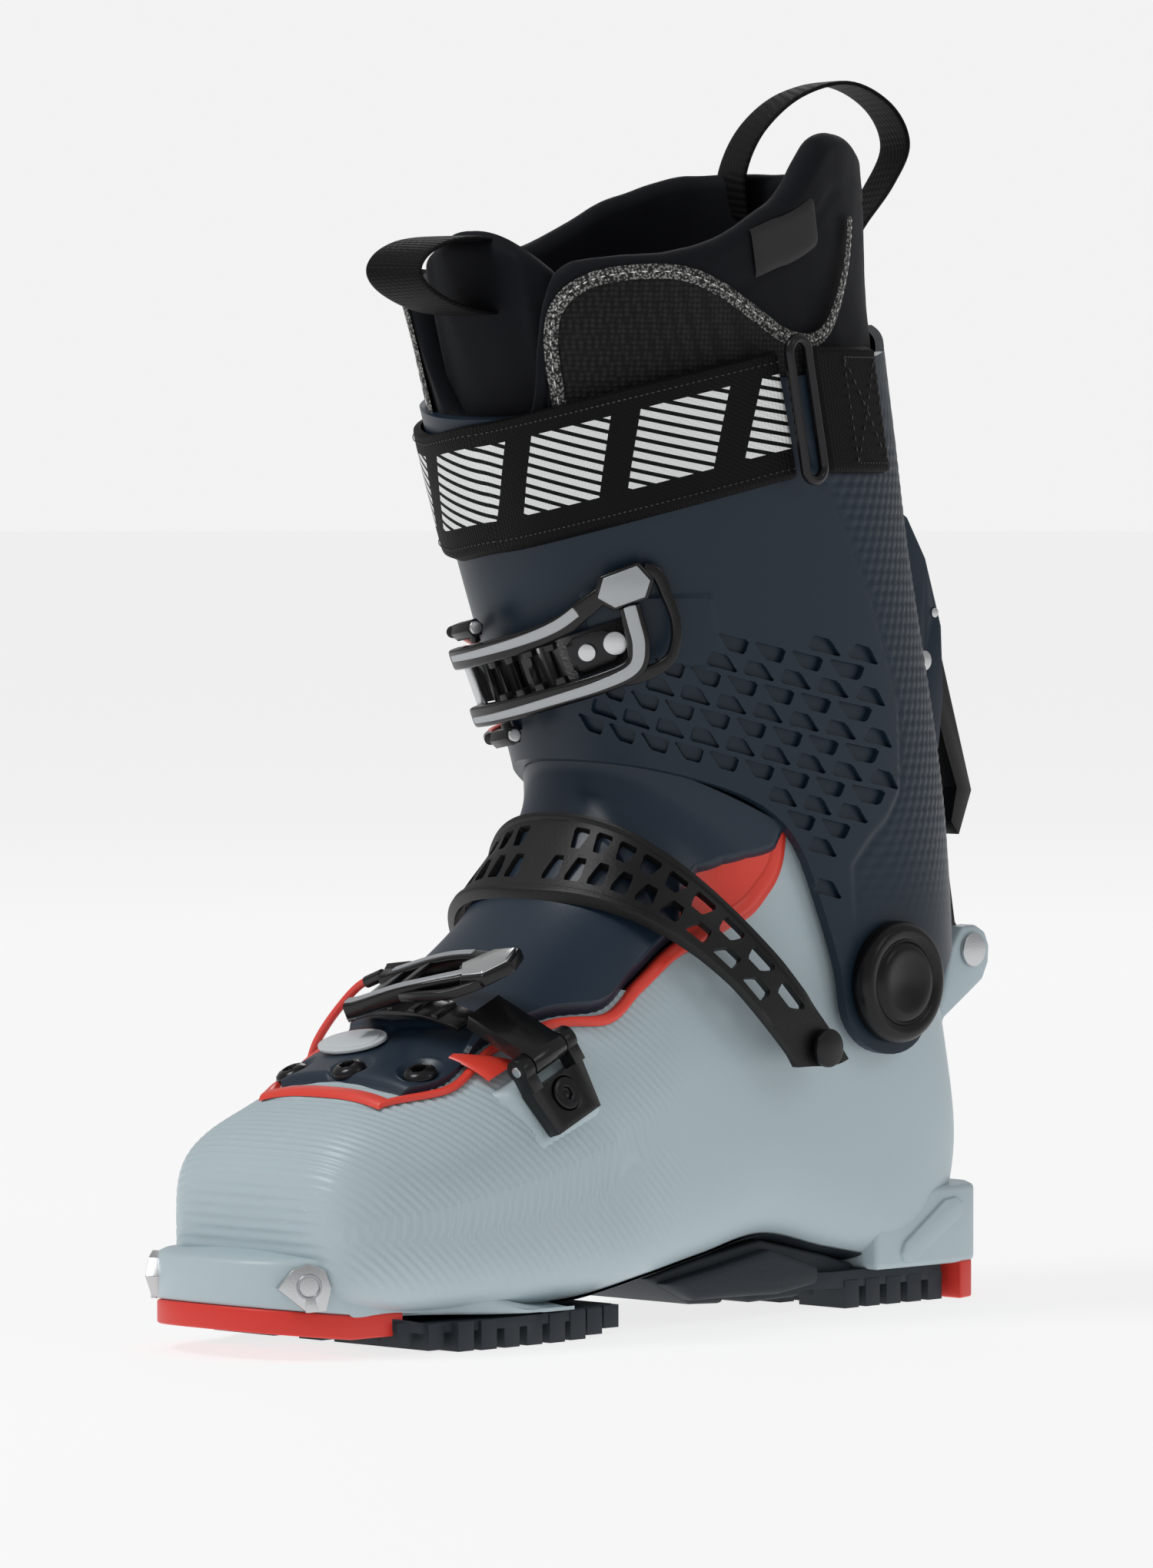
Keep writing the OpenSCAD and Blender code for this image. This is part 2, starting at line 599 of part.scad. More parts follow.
// Each cable runs from its adjuster round the inner side of the cuff to the hook. Its places are
// given as a height, an angle round the leg and a distance out of the surface.
UPPER_CABLE = [[196, -21, 9.5], [195, -30, 5], [193, -42, 2.5], [191, -54, 2], [189, -63, 2.2]];
LOWER_CABLE = [[165.5, -14, 10], [166, -24, 6], [167, -36, 3], [168, -50, 2], [169, -63, 2.2]];

module cuff_cables() {
    color(RED) for (route = [UPPER_CABLE, LOWER_CABLE])
        tube([for (p = smooth(route, 6)) leg(p[0], p[1], p[2])], cable_r, 8);
}

module cuff_hook() {
    color(BLACK) moulded() difference() {
        wall([for (z = [164, 171, 178, 185, 192]) [for (a = steps(-80, -64, 4)) leg(z, a, 4.4)]],
            [for (z = [164, 171, 178, 185, 192]) [for (a = steps(-80, -64, 4)) leg(z, a, 0.3)]]);
    }
}

// ---------- power strap ----------
// The strap's lower edge drops from the outer side towards the front
function strap_low(a) = 216 + 24 * pow(abs(a + 20) / 105, 1.3);

module power_strap() {
    angles = steps(-110, 84, 40);
    rows = steps(0, 36, 4);
    color("#1b1b1c") moulded() wall(
        [for (h = rows) [for (a = angles) leg(strap_low(a) + h, a, 3.6)]],
        [for (h = rows) [for (a = angles) leg(strap_low(a) + h, a, 0.5)]]);
}

module strap_ring() {
    color(BLACK) translate([60.2, -49, 259]) rotate([12, 0, 0]) difference() {
        cube([2.4, 9, 48], center = true);
        cube([6, 4.5, 42], center = true);
    }
}

module strap_anchor() {
    angles = steps(93, 112, 6);
    color("#1b1b1c") moulded() wall(
        [for (h = steps(0, 36, 3)) [for (a = angles) leg(241 + h, a, 3.2)]],
        [for (h = steps(0, 36, 3)) [for (a = angles) leg(241 + h, a, 0.5)]]);
}

// ---------- inner boot, leg part ----------
LINER_SIDE = [[-150, 163.5], [80, 163.5], [80, 356], [14, 347], [-4, 341], [-20, 322], [-46, 312], [-80, 308],
    [-108, 300], [-122, 290], [-150, 286]];

module inner_boot_leg() {
    color("#26272a") moulded() intersection() {
        leg_tube(155, 352, -cuff_wall - liner_gap, foam, 14);
        side_plate(-80, 80) polygon(LINER_SIDE);
    }
}

module liner_label() {
    color("#3a3b3e") moulded() wall(
        [for (z = steps(296, 318, 3)) [for (a = steps(98, 128, 6)) leg(z, a, -cuff_wall - liner_gap + 1.2)]],
        [for (z = steps(296, 318, 3)) [for (a = steps(98, 128, 6)) leg(z, a, -cuff_wall - liner_gap + 0.3)]]);
}

// A flat ribbon in the side view's plane, from x0 to x1, along a line of points in y and z
module ribbon(points, thick, x0, x1) {
    line = smooth(points, 5);
    n = len(line);
    function across(i) = let (d = line[min(i + 1, n - 1)] - line[max(i - 1, 0)]) [-d[1], d[0]] / norm(d) * thick / 2;
    side_plate(x0, x1) polygon(concat([for (i = [0 : n - 1]) line[i] + across(i)],
        [for (i = [n - 1 : -1 : 0]) line[i] - across(i)]));
}

module front_loop() {
    color(BLACK) ribbon([[-124, 258], [-130, 272], [-138, 283], [-147, 292], [-146, 301], [-134, 306], [-118, 305],
        [-106, 300]], 1.8, -12, 10);
}

module rear_loop() {
    color(BLACK) ribbon([[17.9, 298], [18.6, 308], [29, 325], [39, 340], [38, 353], [24, 361], [8, 358.5], [1, 350],
        [0.5, 338], [1.5, 326]], 1.8, -10, 10);
}

// ---------- instep buckle ----------
module in_ring() { in_catch() translate([0, 0, -60]) children(); }

module in_instep_lever() {
    in_catch() translate([-10, -2.5, 8.8]) rotate([0, -4, 8]) children();
}

// The catch's pin in the buckle's frame
LINK_PIN = [49.4 + 3.4 * cos(16) - 22 * sin(16), 0, -30 + 3.4 * sin(16) + 22 * cos(16)];

module instep_link() {
    color(BLACK) in_catch() difference() {
        union() {
            translate(LINK_PIN + [0, -6.5, 0]) rotate([-90, 0, 0]) cylinder(h = 13, r = 3.6);
            translate(LINK_PIN) rotate([0, 31, 0]) translate([-22, -6.5, -1]) cube([22, 13, 4.6]);
        }
        translate(LINK_PIN + [0, -20, 0]) rotate([-90, 0, 0]) cylinder(h = 40, r = pin_r);
    }
}

module instep_ladder() {
    color(BLACK) in_ring() translate([0, -1.5, 0]) {
        arc_plate(RING_R, RING_R + 1.6, -18, 20.5, 9);
        for (i = [0 : 4]) if (i != 1) at_angle(-16.3 + 7.3 * i) translate([-1, -4.2, RING_R + 0.8])
            cube([2, 8.4, 1.9]);
    }
}

module instep_cable() {
    color(RED) in_catch() tube(smooth([[-17.7, 9.8, 9], [-28, 9, 5.5], [-38, 6, -2], [-46, 3, -10], [-50, 1, -16.6]], 5),
        cable_r, 8);
}

module instep_lever() {
    color(BLACK) in_instep_lever() difference() {
        translate([0, 0, -1.8]) linear_extrude(5) polygon([[-4, -11], [44, -11], [50, -2], [50, 9], [44, 14],
            [36, 14], [33, 11], [-4, 11], [-4, 7], [30, 7], [30, -7], [-4, -7]]);
        translate([0, -20, 0]) rotate([-90, 0, 0]) cylinder(h = 40, r = pin_r);
    }
}

module instep_lever_inlay() {
    color("#aeb3b8") in_instep_lever() translate([0, 0, 3.2]) linear_extrude(0.6) polygon([[2, -10], [43.6, -10],
        [48.6, -1.6], [48.6, 8.6], [43.4, 12.6], [36.6, 12.6], [33.6, 10], [2, 10], [2, 8], [31, 8], [31, -8],
        [2, -8]]);
}

module instep_lever_pin() {
    color(STEEL) in_instep_lever() translate([0, -11.6, 0]) rotate([-90, 0, 0]) cylinder(h = 23.2, r = pin_r - running);
}

module instep_adjuster() {
    color(BLACK) in_instep_lever() {
        translate([-4.4, 14.6, 0.6]) rotate([0, 90, 0]) cylinder(h = 8.4, r = 2.7, $fn = 6);
        translate([0, 11.8, 0.6]) rotate([-90, 0, 0]) cylinder(h = 1.4, r = 1.4);
    }
}

// ---------- walk mechanism ----------
module walk_lever() {
    color(BLACK) difference() {
        side_plate(-9, 9) polygon([[53, 203], [59, 203], [63, 196], [68, 180], [75, 160], [79.5, 147], [74, 134],
            [70.5, 138], [73, 148], [68, 160], [62, 176], [58, 190], [54, 197]]);
        translate([-30, 56, 200]) rotate([0, 90, 0]) cylinder(h = 60, r = 1.5);
    }
}

module walk_lever_pin() {
    color(STEEL) translate([-15.5, 56, 200]) rotate([0, 90, 0]) cylinder(h = 31, r = 1.5 - running);
}

module walk_rod() {
    color(BLACK) difference() {
        side_plate(-6.5, 6.5) polygon([[70, 96], [78, 96], [79, 103], [75, 108], [70.5, 132], [65.5, 132], [69, 104]]);
        translate([-30, 74, 100]) rotate([0, 90, 0]) cylinder(h = 60, r = 2.5 + running);
    }
}

lower_shell();
toe_bumper();
forefoot_tread();
heel_tread();
heel_block();
toe_fitting();
heel_fitting();
throat_gasket();
instep_overlap();
overlap_screws();
overlap_badge();
instep_strap();
strap_rivets();
catch_base();
catch_screw();
catch_pins();
hinge_screws();
bracket_pin();
inner_boot_foot();
footbed();
inner_hook();
cuff();
hinge_bushes();
hinge_caps();
spine_housing();
housing_rivet();
cuff_ladder();
ladder_screws();
cuff_hook();
cuff_cables();
power_strap();
strap_ring();
strap_anchor();
inner_boot_leg();
liner_label();
front_loop();
rear_loop();
cuff_lever();
cuff_lever_inlay();
cuff_lever_pin();
cuff_adjusters();
instep_link();
instep_ladder();
instep_cable();
instep_lever();
instep_lever_inlay();
instep_lever_pin();
instep_adjuster();
walk_lever();
walk_lever_pin();
walk_rod();
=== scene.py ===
"""A ski touring boot for the left foot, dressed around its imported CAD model.

Lengths in the tables are in millimetres and are turned into metres where a piece is placed.
"""

import functools
import math

import bpy
from mathutils import Matrix, Vector, noise


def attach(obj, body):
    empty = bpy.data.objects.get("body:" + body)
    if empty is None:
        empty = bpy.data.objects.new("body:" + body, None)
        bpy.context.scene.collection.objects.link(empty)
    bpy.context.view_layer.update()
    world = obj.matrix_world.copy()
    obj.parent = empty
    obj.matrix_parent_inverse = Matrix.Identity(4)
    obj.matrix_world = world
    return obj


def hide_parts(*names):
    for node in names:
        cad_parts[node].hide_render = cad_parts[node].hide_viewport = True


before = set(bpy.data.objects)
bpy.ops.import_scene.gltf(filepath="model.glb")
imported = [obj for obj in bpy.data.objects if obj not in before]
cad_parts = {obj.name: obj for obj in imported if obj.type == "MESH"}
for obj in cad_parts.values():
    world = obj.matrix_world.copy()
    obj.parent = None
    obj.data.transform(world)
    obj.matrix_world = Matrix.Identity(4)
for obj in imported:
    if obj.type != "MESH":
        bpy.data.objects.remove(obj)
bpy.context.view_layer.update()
MM = 0.001


# ---------------------------------------------------------------------------------------------
# Studio: a pale floor under the boot, a white surround, a large round lamp at the upper left, a
# weaker one at the right and one behind that draws the edges.
STUDIO_WHITE = (0.905, 0.905, 0.905, 1.0)
SURROUND_LIGHT = 0.45
SURROUND_SEEN = 1.07
FLOOR_GLOW = 0.945
CAMERA_PLACE = (1.7305, -1.8720, 0.2432)
CAMERA_AIM = (-0.6942, 0.7189, -0.0363)


def soft_light(name, place, radius, power):
    """Adds a large round lamp at place."""
    bpy.ops.object.light_add(type="POINT", location=place)
    lamp = bpy.context.object
    lamp.name = name
    lamp.data.shadow_soft_size = radius
    lamp.data.energy = power


bpy.ops.object.select_all(action="DESELECT")
bpy.ops.object.camera_add(location=CAMERA_PLACE)
camera = bpy.context.object
camera.name = "camera"
camera.rotation_euler = Vector(CAMERA_AIM).to_track_quat("-Z", "Y").to_euler()
camera.data.lens = 201.2
camera.data.sensor_width = 36
camera.data.clip_end = 100
bpy.context.scene.camera = camera
bpy.context.scene.view_settings.view_transform = "Standard"
bpy.context.scene.view_settings.exposure = -0.12

world = bpy.data.worlds.new("surround")
world.use_nodes = True
surround = world.node_tree.nodes["Background"]
surround.inputs["Color"].default_value = STUDIO_WHITE
seen = world.node_tree.nodes.new("ShaderNodeLightPath")
strength = world.node_tree.nodes.new("ShaderNodeMapRange")
strength.inputs["To Min"].default_value = SURROUND_LIGHT
strength.inputs["To Max"].default_value = SURROUND_SEEN
world.node_tree.links.new(seen.outputs["Is Camera Ray"], strength.inputs["Value"])
world.node_tree.links.new(strength.outputs["Result"], surround.inputs["Strength"])
bpy.context.scene.world = world

soft_light("key_light", (-0.5, -1.3, 1.9), 0.4, 84)
soft_light("side_light", (2.6, 0.5, 1.8), 0.5, 22)
soft_light("back_light", (-1.2, 1.4, 1.3), 0.4, 20)

bpy.ops.mesh.primitive_circle_add(vertices=64, radius=30, fill_type="NGON", location=(0, 0, 0))
floor = bpy.context.object
floor.name = "studio_floor"
floor_paint = bpy.data.materials.new("floor_paint")
floor_paint.use_nodes = True
floor_shader = floor_paint.node_tree.nodes["Principled BSDF"]
floor_shader.inputs["Base Color"].default_value = (0.2, 0.2, 0.2, 1)
floor_shader.inputs["Roughness"].default_value = 1.0
floor_shader.inputs["Specular IOR Level"].default_value = 0.0
floor_shader.inputs["Emission Color"].default_value = STUDIO_WHITE
floor_shader.inputs["Emission Strength"].default_value = FLOOR_GLOW
floor.data.materials.append(floor_paint)


# ---------------------------------------------------------------------------------------------
# Lower shell: injection-moulded polyamide, one piece from the toe ledge to the ankle, with fine
# moulded ribs over the forefoot that fade out towards the heel. Everything else is fixed to it.
# Each section gives y and z of its top, y and z of its bottom, half width, squareness above and below.
FOOT = [
    (-212.5, 42, -212.5, 26, 19, 2.8, 2.8), (-212, 50.5, -212, 17.5, 28.5, 3.6, 3.3),
    (-207, 57.5, -207, 13.5, 35.5, 3.4, 3.8), (-197.5, 63, -197.5, 11.5, 41, 3.0, 4.2),
    (-182, 69.5, -182, 10, 45.5, 2.5, 4.6), (-162, 77.5, -160, 9, 48, 2.4, 4.6),
    (-143, 87, -136, 8.5, 49, 2.3, 4.4), (-126, 97.5, -112, 9, 48, 2.3, 4.2),
    (-112, 108, -86, 12.5, 46, 2.2, 4.2), (-101, 118, -60, 17, 44, 2.2, 4.4),
    (-93, 127.5, -34, 21, 42.5, 2.3, 4.6), (-87, 136, -6, 15, 42, 2.3, 4.8),
    (-83, 143, 22, 11, 42, 2.4, 5.2), (-80.5, 149, 44, 16, 42.3, 2.4, 4.0),
    (-79, 153.5, 52, 38, 42.6, 2.4, 3.9), (-78.5, 157, 52, 68, 42.8, 2.4, 3.1),
    (-78.5, 160, 50, 96, 42.6, 2.4, 2.4),
]
WALL = 3.4
TOE_SHIFT = 4.5
THROAT_START = 3.9
THROAT_ANGLES = [(25,), (38,), (34,), (42,), (56,), (57,), (59,), (60,), (61,), (63,), (66,), (70,), (72,)]
SHELL_END = 15.9


def row_at(table, t):
    """The row of a table at t, from 0 at its first row to 1 at its last, on a smooth curve."""
    last = len(table) - 1
    s = min(max(t, 0), 1) * last
    i = min(int(s), last - 1)
    u = s - i
    four = (table[max(i - 1, 0)], table[i], table[i + 1], table[min(i + 2, last)])
    return [0.5 * (2 * b + (c - a) * u + (2 * a - 5 * b + 4 * c - d) * u**2 + (3 * b - a - 3 * c + d) * u**3)
            for a, b, c, d in zip(*four)]


def along(table, value):
    """Straight interpolation in a table of (key, value) pairs whose keys rise."""
    for (k0, v0), (k1, v1) in zip(table, table[1:]):
        if value <= k1:
            return v0 + (v1 - v0) * max(value - k0, 0) / (k1 - k0)
    return table[-1][1]


def squared(value, n):
    """A power that keeps its sign, for sections between a circle and a square."""
    return math.copysign(abs(value) ** (2 / n), value)


@functools.lru_cache(maxsize=None)
def section(row):
    """A section of the foot: centre, upward direction, half height, half width and squareness."""
    y1, z1, y2, z2, half_width, n_top, n_low = row_at(FOOT, row / (len(FOOT) - 1))
    half = math.hypot(y1 - y2, z1 - z2) / 2
    centre = (y1 + y2) / 2, (z1 + z2) / 2
    up = (y1 - y2) / 2 / half, (z1 - z2) / 2 / half
    return *centre, *up, half, half_width, n_top, n_low


def foot(row, a, off=0.0):
    """A point of the foot's surface moved out by off; a is 0 on top and 90 on the outer side."""
    y, z, up_y, up_z, half, half_width, n_top, n_low = section(round(row, 5))
    n = n_top if math.cos(math.radians(a)) > 0 else n_low
    height = (half + off) * squared(math.cos(math.radians(a)), n)
    across = (half_width + off) * squared(math.sin(math.radians(a)), n)
    across += TOE_SHIFT * (1 - ramp(row, 1.5, 5.5))
    return Vector((across, y + up_y * height, z + up_z * height)) * MM


def throat(row):
    """Half the opening angle of the shell's throat at a section."""
    return row_at(THROAT_ANGLES, (row - THROAT_START) / 12)[0]


def ramp(value, start, end):
    """0 before start, 1 after end, and a soft step between them."""
    t = min(max((value - start) / (end - start), 0), 1)
    return t * t * (3 - 2 * t)


def sheet(name, rows, columns, place):
    """A grid whose vertices go to place(u, v), u and v from 0 to 1 along its rows and columns."""
    bpy.ops.object.select_all(action="DESELECT")
    bpy.ops.mesh.primitive_grid_add(x_subdivisions=rows, y_subdivisions=columns, size=1)
    piece = bpy.context.object
    piece.name = name
    for vertex in piece.data.vertices:
        vertex.co = place(vertex.co.x + 0.5, vertex.co.y + 0.5)
    return piece


def tidy(piece, centre=None):
    """Merges doubles and turns the faces outwards, away from centre on an open sheet."""
    bpy.ops.object.select_all(action="DESELECT")
    piece.select_set(True)
    bpy.context.view_layer.objects.active = piece
    bpy.ops.object.mode_set(mode="EDIT")
    bpy.ops.mesh.select_all(action="SELECT")
    bpy.ops.mesh.remove_doubles(threshold=0.00002)
    bpy.ops.mesh.normals_make_consistent(inside=False)
    bpy.ops.object.mode_set(mode="OBJECT")
    if centre is not None:
        outwards = sum((face.center - Vector(centre)).dot(face.normal) * face.area
                       for face in piece.data.polygons)
        if outwards < 0:
            piece.data.flip_normals()
    return piece


def emboss(piece, height):
    """Raises each vertex of piece along its normal by height(place) millimetres."""
    normals = [vertex.normal.copy() for vertex in piece.data.vertices]
    for vertex, normal in zip(piece.data.vertices, normals):
        vertex.co += normal * height(vertex.co / MM) * MM


def modify(piece, kind, **settings):
    """Adds a modifier of a kind to piece and applies it."""
    bpy.context.view_layer.objects.active = piece
    modifier = piece.modifiers.new(kind.lower(), kind)
    for key, value in settings.items():
        setattr(modifier, key, value)
    bpy.ops.object.modifier_apply(modifier=modifier.name)
    return piece


def rounded(piece, width, segments, angle=30):
    """Bevels the edges of piece that are sharper than angle."""
    return modify(piece, "BEVEL", width=width * MM, segments=segments, limit_method="ANGLE",
                  angle_limit=math.radians(angle))


def smooth(piece, angle=35):
    """Shades piece smooth across edges flatter than angle."""
    bpy.ops.object.select_all(action="DESELECT")
    piece.select_set(True)
    bpy.context.view_layer.objects.active = piece
    bpy.ops.object.shade_smooth_by_angle(angle=math.radians(angle))
    return piece


def join(name, *pieces):
    """Makes one object of several."""
    bpy.ops.object.select_all(action="DESELECT")
    for piece in pieces:
        piece.select_set(True)
    bpy.context.view_layer.objects.active = pieces[0]
    bpy.ops.object.join()
    pieces[0].name = name
    return pieces[0]


def plate(name, outline, low, high, frame_matrix, bevel=0.6):
    """A flat piece with a given outline in its frame's xy plane, from low to high, edges rounded."""
    bpy.ops.object.select_all(action="DESELECT")
    bpy.ops.mesh.primitive_circle_add(vertices=len(outline), radius=1, fill_type="NGON")
    piece = bpy.context.object
    piece.name = name
    for vertex, (x, y) in zip(piece.data.vertices, outline):
        vertex.co = (x * MM, y * MM, low * MM)
    bpy.ops.object.mode_set(mode="EDIT")
    bpy.ops.mesh.select_all(action="SELECT")
    bpy.ops.mesh.extrude_region_move(TRANSFORM_OT_translate={"value": (0, 0, (high - low) * MM)})
    bpy.ops.mesh.select_all(action="SELECT")
    bpy.ops.mesh.normals_make_consistent(inside=False)
    bpy.ops.object.mode_set(mode="OBJECT")
    if bevel:
        rounded(piece, bevel, 3)
    piece.data.transform(frame_matrix)
    return smooth(piece)


def drum(name, radius, low, high, frame_matrix, sides=32, bevel=0.3):
    """A round or many-sided bar along its frame's z axis."""
    circle = [(radius * math.cos(2 * math.pi * k / sides), radius * math.sin(2 * math.pi * k / sides))
              for k in range(sides)]
    return plate(name, circle, low, high, frame_matrix, bevel)


def bent_plate(name, outline, low, high, form, bevel=0.5):
    """A plate with a flat outline whose places are then taken through form(x, y, z)."""
    piece = plate(name, outline, low, high, Matrix(), bevel)
    for vertex in piece.data.vertices:
        vertex.co = form(*(vertex.co / MM))
    return piece


def turned(axis, degrees):
    """A turn round an axis of the frame."""
    return Matrix.Rotation(math.radians(degrees), 4, axis)


def moved(x, y, z):
    """A shift in millimetres."""
    return Matrix.Translation(Vector((x, y, z)) * MM)


# SIDE_VIEW puts an outline into the plane of y and z; CATCH and CATCH_PLATE stand at the instep buckle.
SIDE_VIEW = Matrix(((0, 0, 1, 0), (1, 0, 0, 0), (0, 1, 0, 0), (0, 0, 0, 1)))
CATCH = moved(0, -145, 88) @ turned("X", 24)
CATCH_PLATE = CATCH @ moved(49.4, 0, -30) @ turned("Y", -16)


def finish(name, colour, roughness, metallic=0.0, mottle=0.06, mottle_scale=30, grain=0.15, grain_scale=1400,
           wear=0.0, **sockets):
    """A moulded or metal finish: a slightly uneven colour and gloss and a fine grain."""
    material = bpy.data.materials.new(name)
    material.use_nodes = True
    nodes, links = material.node_tree.nodes, material.node_tree.links
    shader = nodes["Principled BSDF"]
    shader.inputs["Metallic"].default_value = metallic
    for socket, value in sockets.items():
        shader.inputs[socket.replace("_", " ")].default_value = value
    place = nodes.new("ShaderNodeTexCoord")
    cloud = nodes.new("ShaderNodeTexNoise")
    cloud.inputs["Scale"].default_value = mottle_scale
    cloud.inputs["Detail"].default_value = 5
    links.new(place.outputs["Object"], cloud.inputs["Vector"])
    tint = nodes.new("ShaderNodeMix")
    tint.data_type = "RGBA"
    tint.inputs["A"].default_value = [c * (1 - mottle) for c in colour] + [1]
    tint.inputs["B"].default_value = [min(c * (1 + mottle), 1) for c in colour] + [1]
    links.new(cloud.outputs["Fac"], tint.inputs["Factor"])
    paint = tint.outputs["Result"]
    if wear:
        edge = nodes.new("ShaderNodeNewGeometry")
        rubbed = nodes.new("ShaderNodeMapRange")
        rubbed.inputs["From Min"].default_value = 0.52
        rubbed.inputs["From Max"].default_value = 0.62
        rubbed.inputs["To Max"].default_value = wear
        links.new(edge.outputs["Pointiness"], rubbed.inputs["Value"])
        worn = nodes.new("ShaderNodeMix")
        worn.data_type = "RGBA"
        worn.inputs["B"].default_value = [min(c * 1.6 + 0.05, 1) for c in colour] + [1]
        links.new(rubbed.outputs["Result"], worn.inputs["Factor"])
        links.new(paint, worn.inputs["A"])
        paint = worn.outputs["Result"]
    links.new(paint, shader.inputs["Base Color"])
    gloss = nodes.new("ShaderNodeMapRange")
    gloss.inputs["To Min"].default_value = roughness - 0.05
    gloss.inputs["To Max"].default_value = roughness + 0.07
    links.new(cloud.outputs["Fac"], gloss.inputs["Value"])
    links.new(gloss.outputs["Result"], shader.inputs["Roughness"])
    pits = nodes.new("ShaderNodeTexNoise")
    pits.inputs["Scale"].default_value = grain_scale
    pits.inputs["Detail"].default_value = 3
    links.new(place.outputs["Object"], pits.inputs["Vector"])
    bump = nodes.new("ShaderNodeBump")
    bump.inputs["Strength"].default_value = grain
    bump.inputs["Distance"].default_value = 0.0002
    links.new(pits.outputs["Fac"], bump.inputs["Height"])
    links.new(bump.outputs["Normal"], shader.inputs["Normal"])
    return material


def dress(piece, material, body, *nodes):
    """Gives piece its finish and the body that it rides on, and hides the CAD nodes it stands for."""
    piece.data.materials.clear()
    piece.data.materials.append(material)
    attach(piece, body)
    if nodes:
        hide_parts(*nodes)
    return piece


def recolour(node, material):
    """A new finish on a CAD node that stays as it is."""
    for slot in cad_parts[node].material_slots:
        slot.material = material


def softened(node, material, body, bevel=0.35, angle=30):
    """A copy of a hard CAD node with its triangles merged, its edges rounded and a new finish."""
    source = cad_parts[node]
    piece = source.copy()
    piece.data = source.data.copy()
    piece.name = node + "_piece"
    piece.parent = None
    bpy.context.collection.objects.link(piece)
    bpy.ops.object.select_all(action="DESELECT")
    piece.select_set(True)
    bpy.context.view_layer.objects.active = piece
    bpy.ops.object.mode_set(mode="EDIT")
    bpy.ops.mesh.select_all(action="SELECT")
    bpy.ops.mesh.remove_doubles(threshold=0.00001)
    bpy.ops.mesh.dissolve_limited(angle_limit=math.radians(2))
    bpy.ops.object.mode_set(mode="OBJECT")
    if bevel:
        rounded(piece, bevel, 2, angle)
    smooth(piece, 40)
    return dress(piece, material, body, node)


SHELL_PLASTIC = finish("shell_polyamide", (0.475, 0.575, 0.615), 0.36, mottle=0.03, grain=0.10, wear=0.12,
                       Specular_IOR_Level=0.4, Subsurface_Weight=0.05, Subsurface_Scale=0.003)
RIBBED_ROWS = 9.6
RIB_PITCH = 2.3


def shell_skin(u, v):
    """Front cap, forefoot with close rows, rear with wide rows, then a lip turned in."""
    k = u * 325
    if k < 12:
        row, cap, lip = 0.0, k / 12, 0
    elif k < 270:
        row, cap, lip = (k - 12) / 258 * RIBBED_ROWS, 1, 0
    elif k < 321:
        row, cap, lip = RIBBED_ROWS + (k - 270) / 51 * (SHELL_END - RIBBED_ROWS), 1, 0
    else:
        row, cap, lip = SHELL_END - 0.1 * (k - 321), 1, min((k - 321) / 2, 1) * WALL
    half = throat(row) * ramp(row, 7, 9)
    # columns are close on the sides and wide underneath
    t = 2 * v - 1
    side = abs(t)
    a = half + (1 - side) / 0.8 * (118 - half) if side > 0.2 else 118 + (0.2 - side) / 0.2 * 62
    a = math.copysign(a, t)
    edge = WALL * ramp(side, 0.9925, 1) if half else 0
    spot = foot(row, a, -max(edge, lip))
    if cap < 1:
        centre = Vector((0, section(0.0)[0], section(0.0)[1])) * MM
        spot = centre + (spot - centre) * cap
    return spot


def rib_height(p):
    """Ribs lie in parallel planes that lean back; they fade at the toe tip, the ledge and the heel."""
    wave = math.cos(2 * math.pi * (p.y * 0.655 + p.z * 0.756) / RIB_PITCH)
    fade = (1 - ramp(p.y, -112, -72)) * ramp(p.z, 12, 30) * (0.45 + 0.55 * ramp(p.y, -216, -190))
    fade *= 1 - ramp(p.z + 0.35 * p.y, 16, 22) * 0.6
    return 0.3 * wave * fade


shell = tidy(sheet("lower_shell_skin", 325, 286, shell_skin), (0, -0.1, 0.06))
emboss(shell, rib_height)


LEDGE_HALF = 34.2
LEDGE_START = -197
LEDGE_TOP = 27.5
LEDGE_SQUARENESS = 2.4
LEDGE_PROFILE = [(24, 0), (1.0, 0), (0.3, 0.3), (0, 1.0), (0, 0.5), (0, -1.6), (0.5, -0.5), (1.6, 0), (8, 0.5),
                 (16, 1.5)]


def toe_ledge_skin(u, v):
    """The toe ledge: round in front, its top edge sinking in an S towards the sole behind."""
    turn = abs(2 * u - 1)
    if turn < 0.6:
        angle = math.radians(turn / 0.6 * 90)
        x = LEDGE_HALF * squared(math.sin(angle), LEDGE_SQUARENESS)
        y = LEDGE_START - 30 * squared(math.cos(angle), LEDGE_SQUARENESS)
    else:
        y = LEDGE_START + (turn - 0.6) / 0.4 * 71
        x = LEDGE_HALF + 9.5 * ramp(y, -192, -134)
    x = math.copysign(x, 2 * u - 1)
    low = 11.9 + max(0, -202.7 - y) * 0.11 if y < -202.7 else 10.6 - 1.6 * ramp(y, -190, -140)
    top = LEDGE_TOP - 9.5 * ramp(y, -188, -168) - 8.5 * ramp(y, -178, -128)
    k = min(int(v * 10), 9)
    inward, rise = LEDGE_PROFILE[k]
    z = low + rise if k < 4 else ((low + top) / 2 if k == 4 else top + rise)
    z = max(z, low)
    pull_y = inward / 70 if y < -160 else 0
    return Vector((x * (1 - inward / 46), y + (-160 - y) * pull_y, z)) * MM


toe_ledge = tidy(sheet("toe_ledge", 120, 9, toe_ledge_skin), (0, -0.19, 0.018))

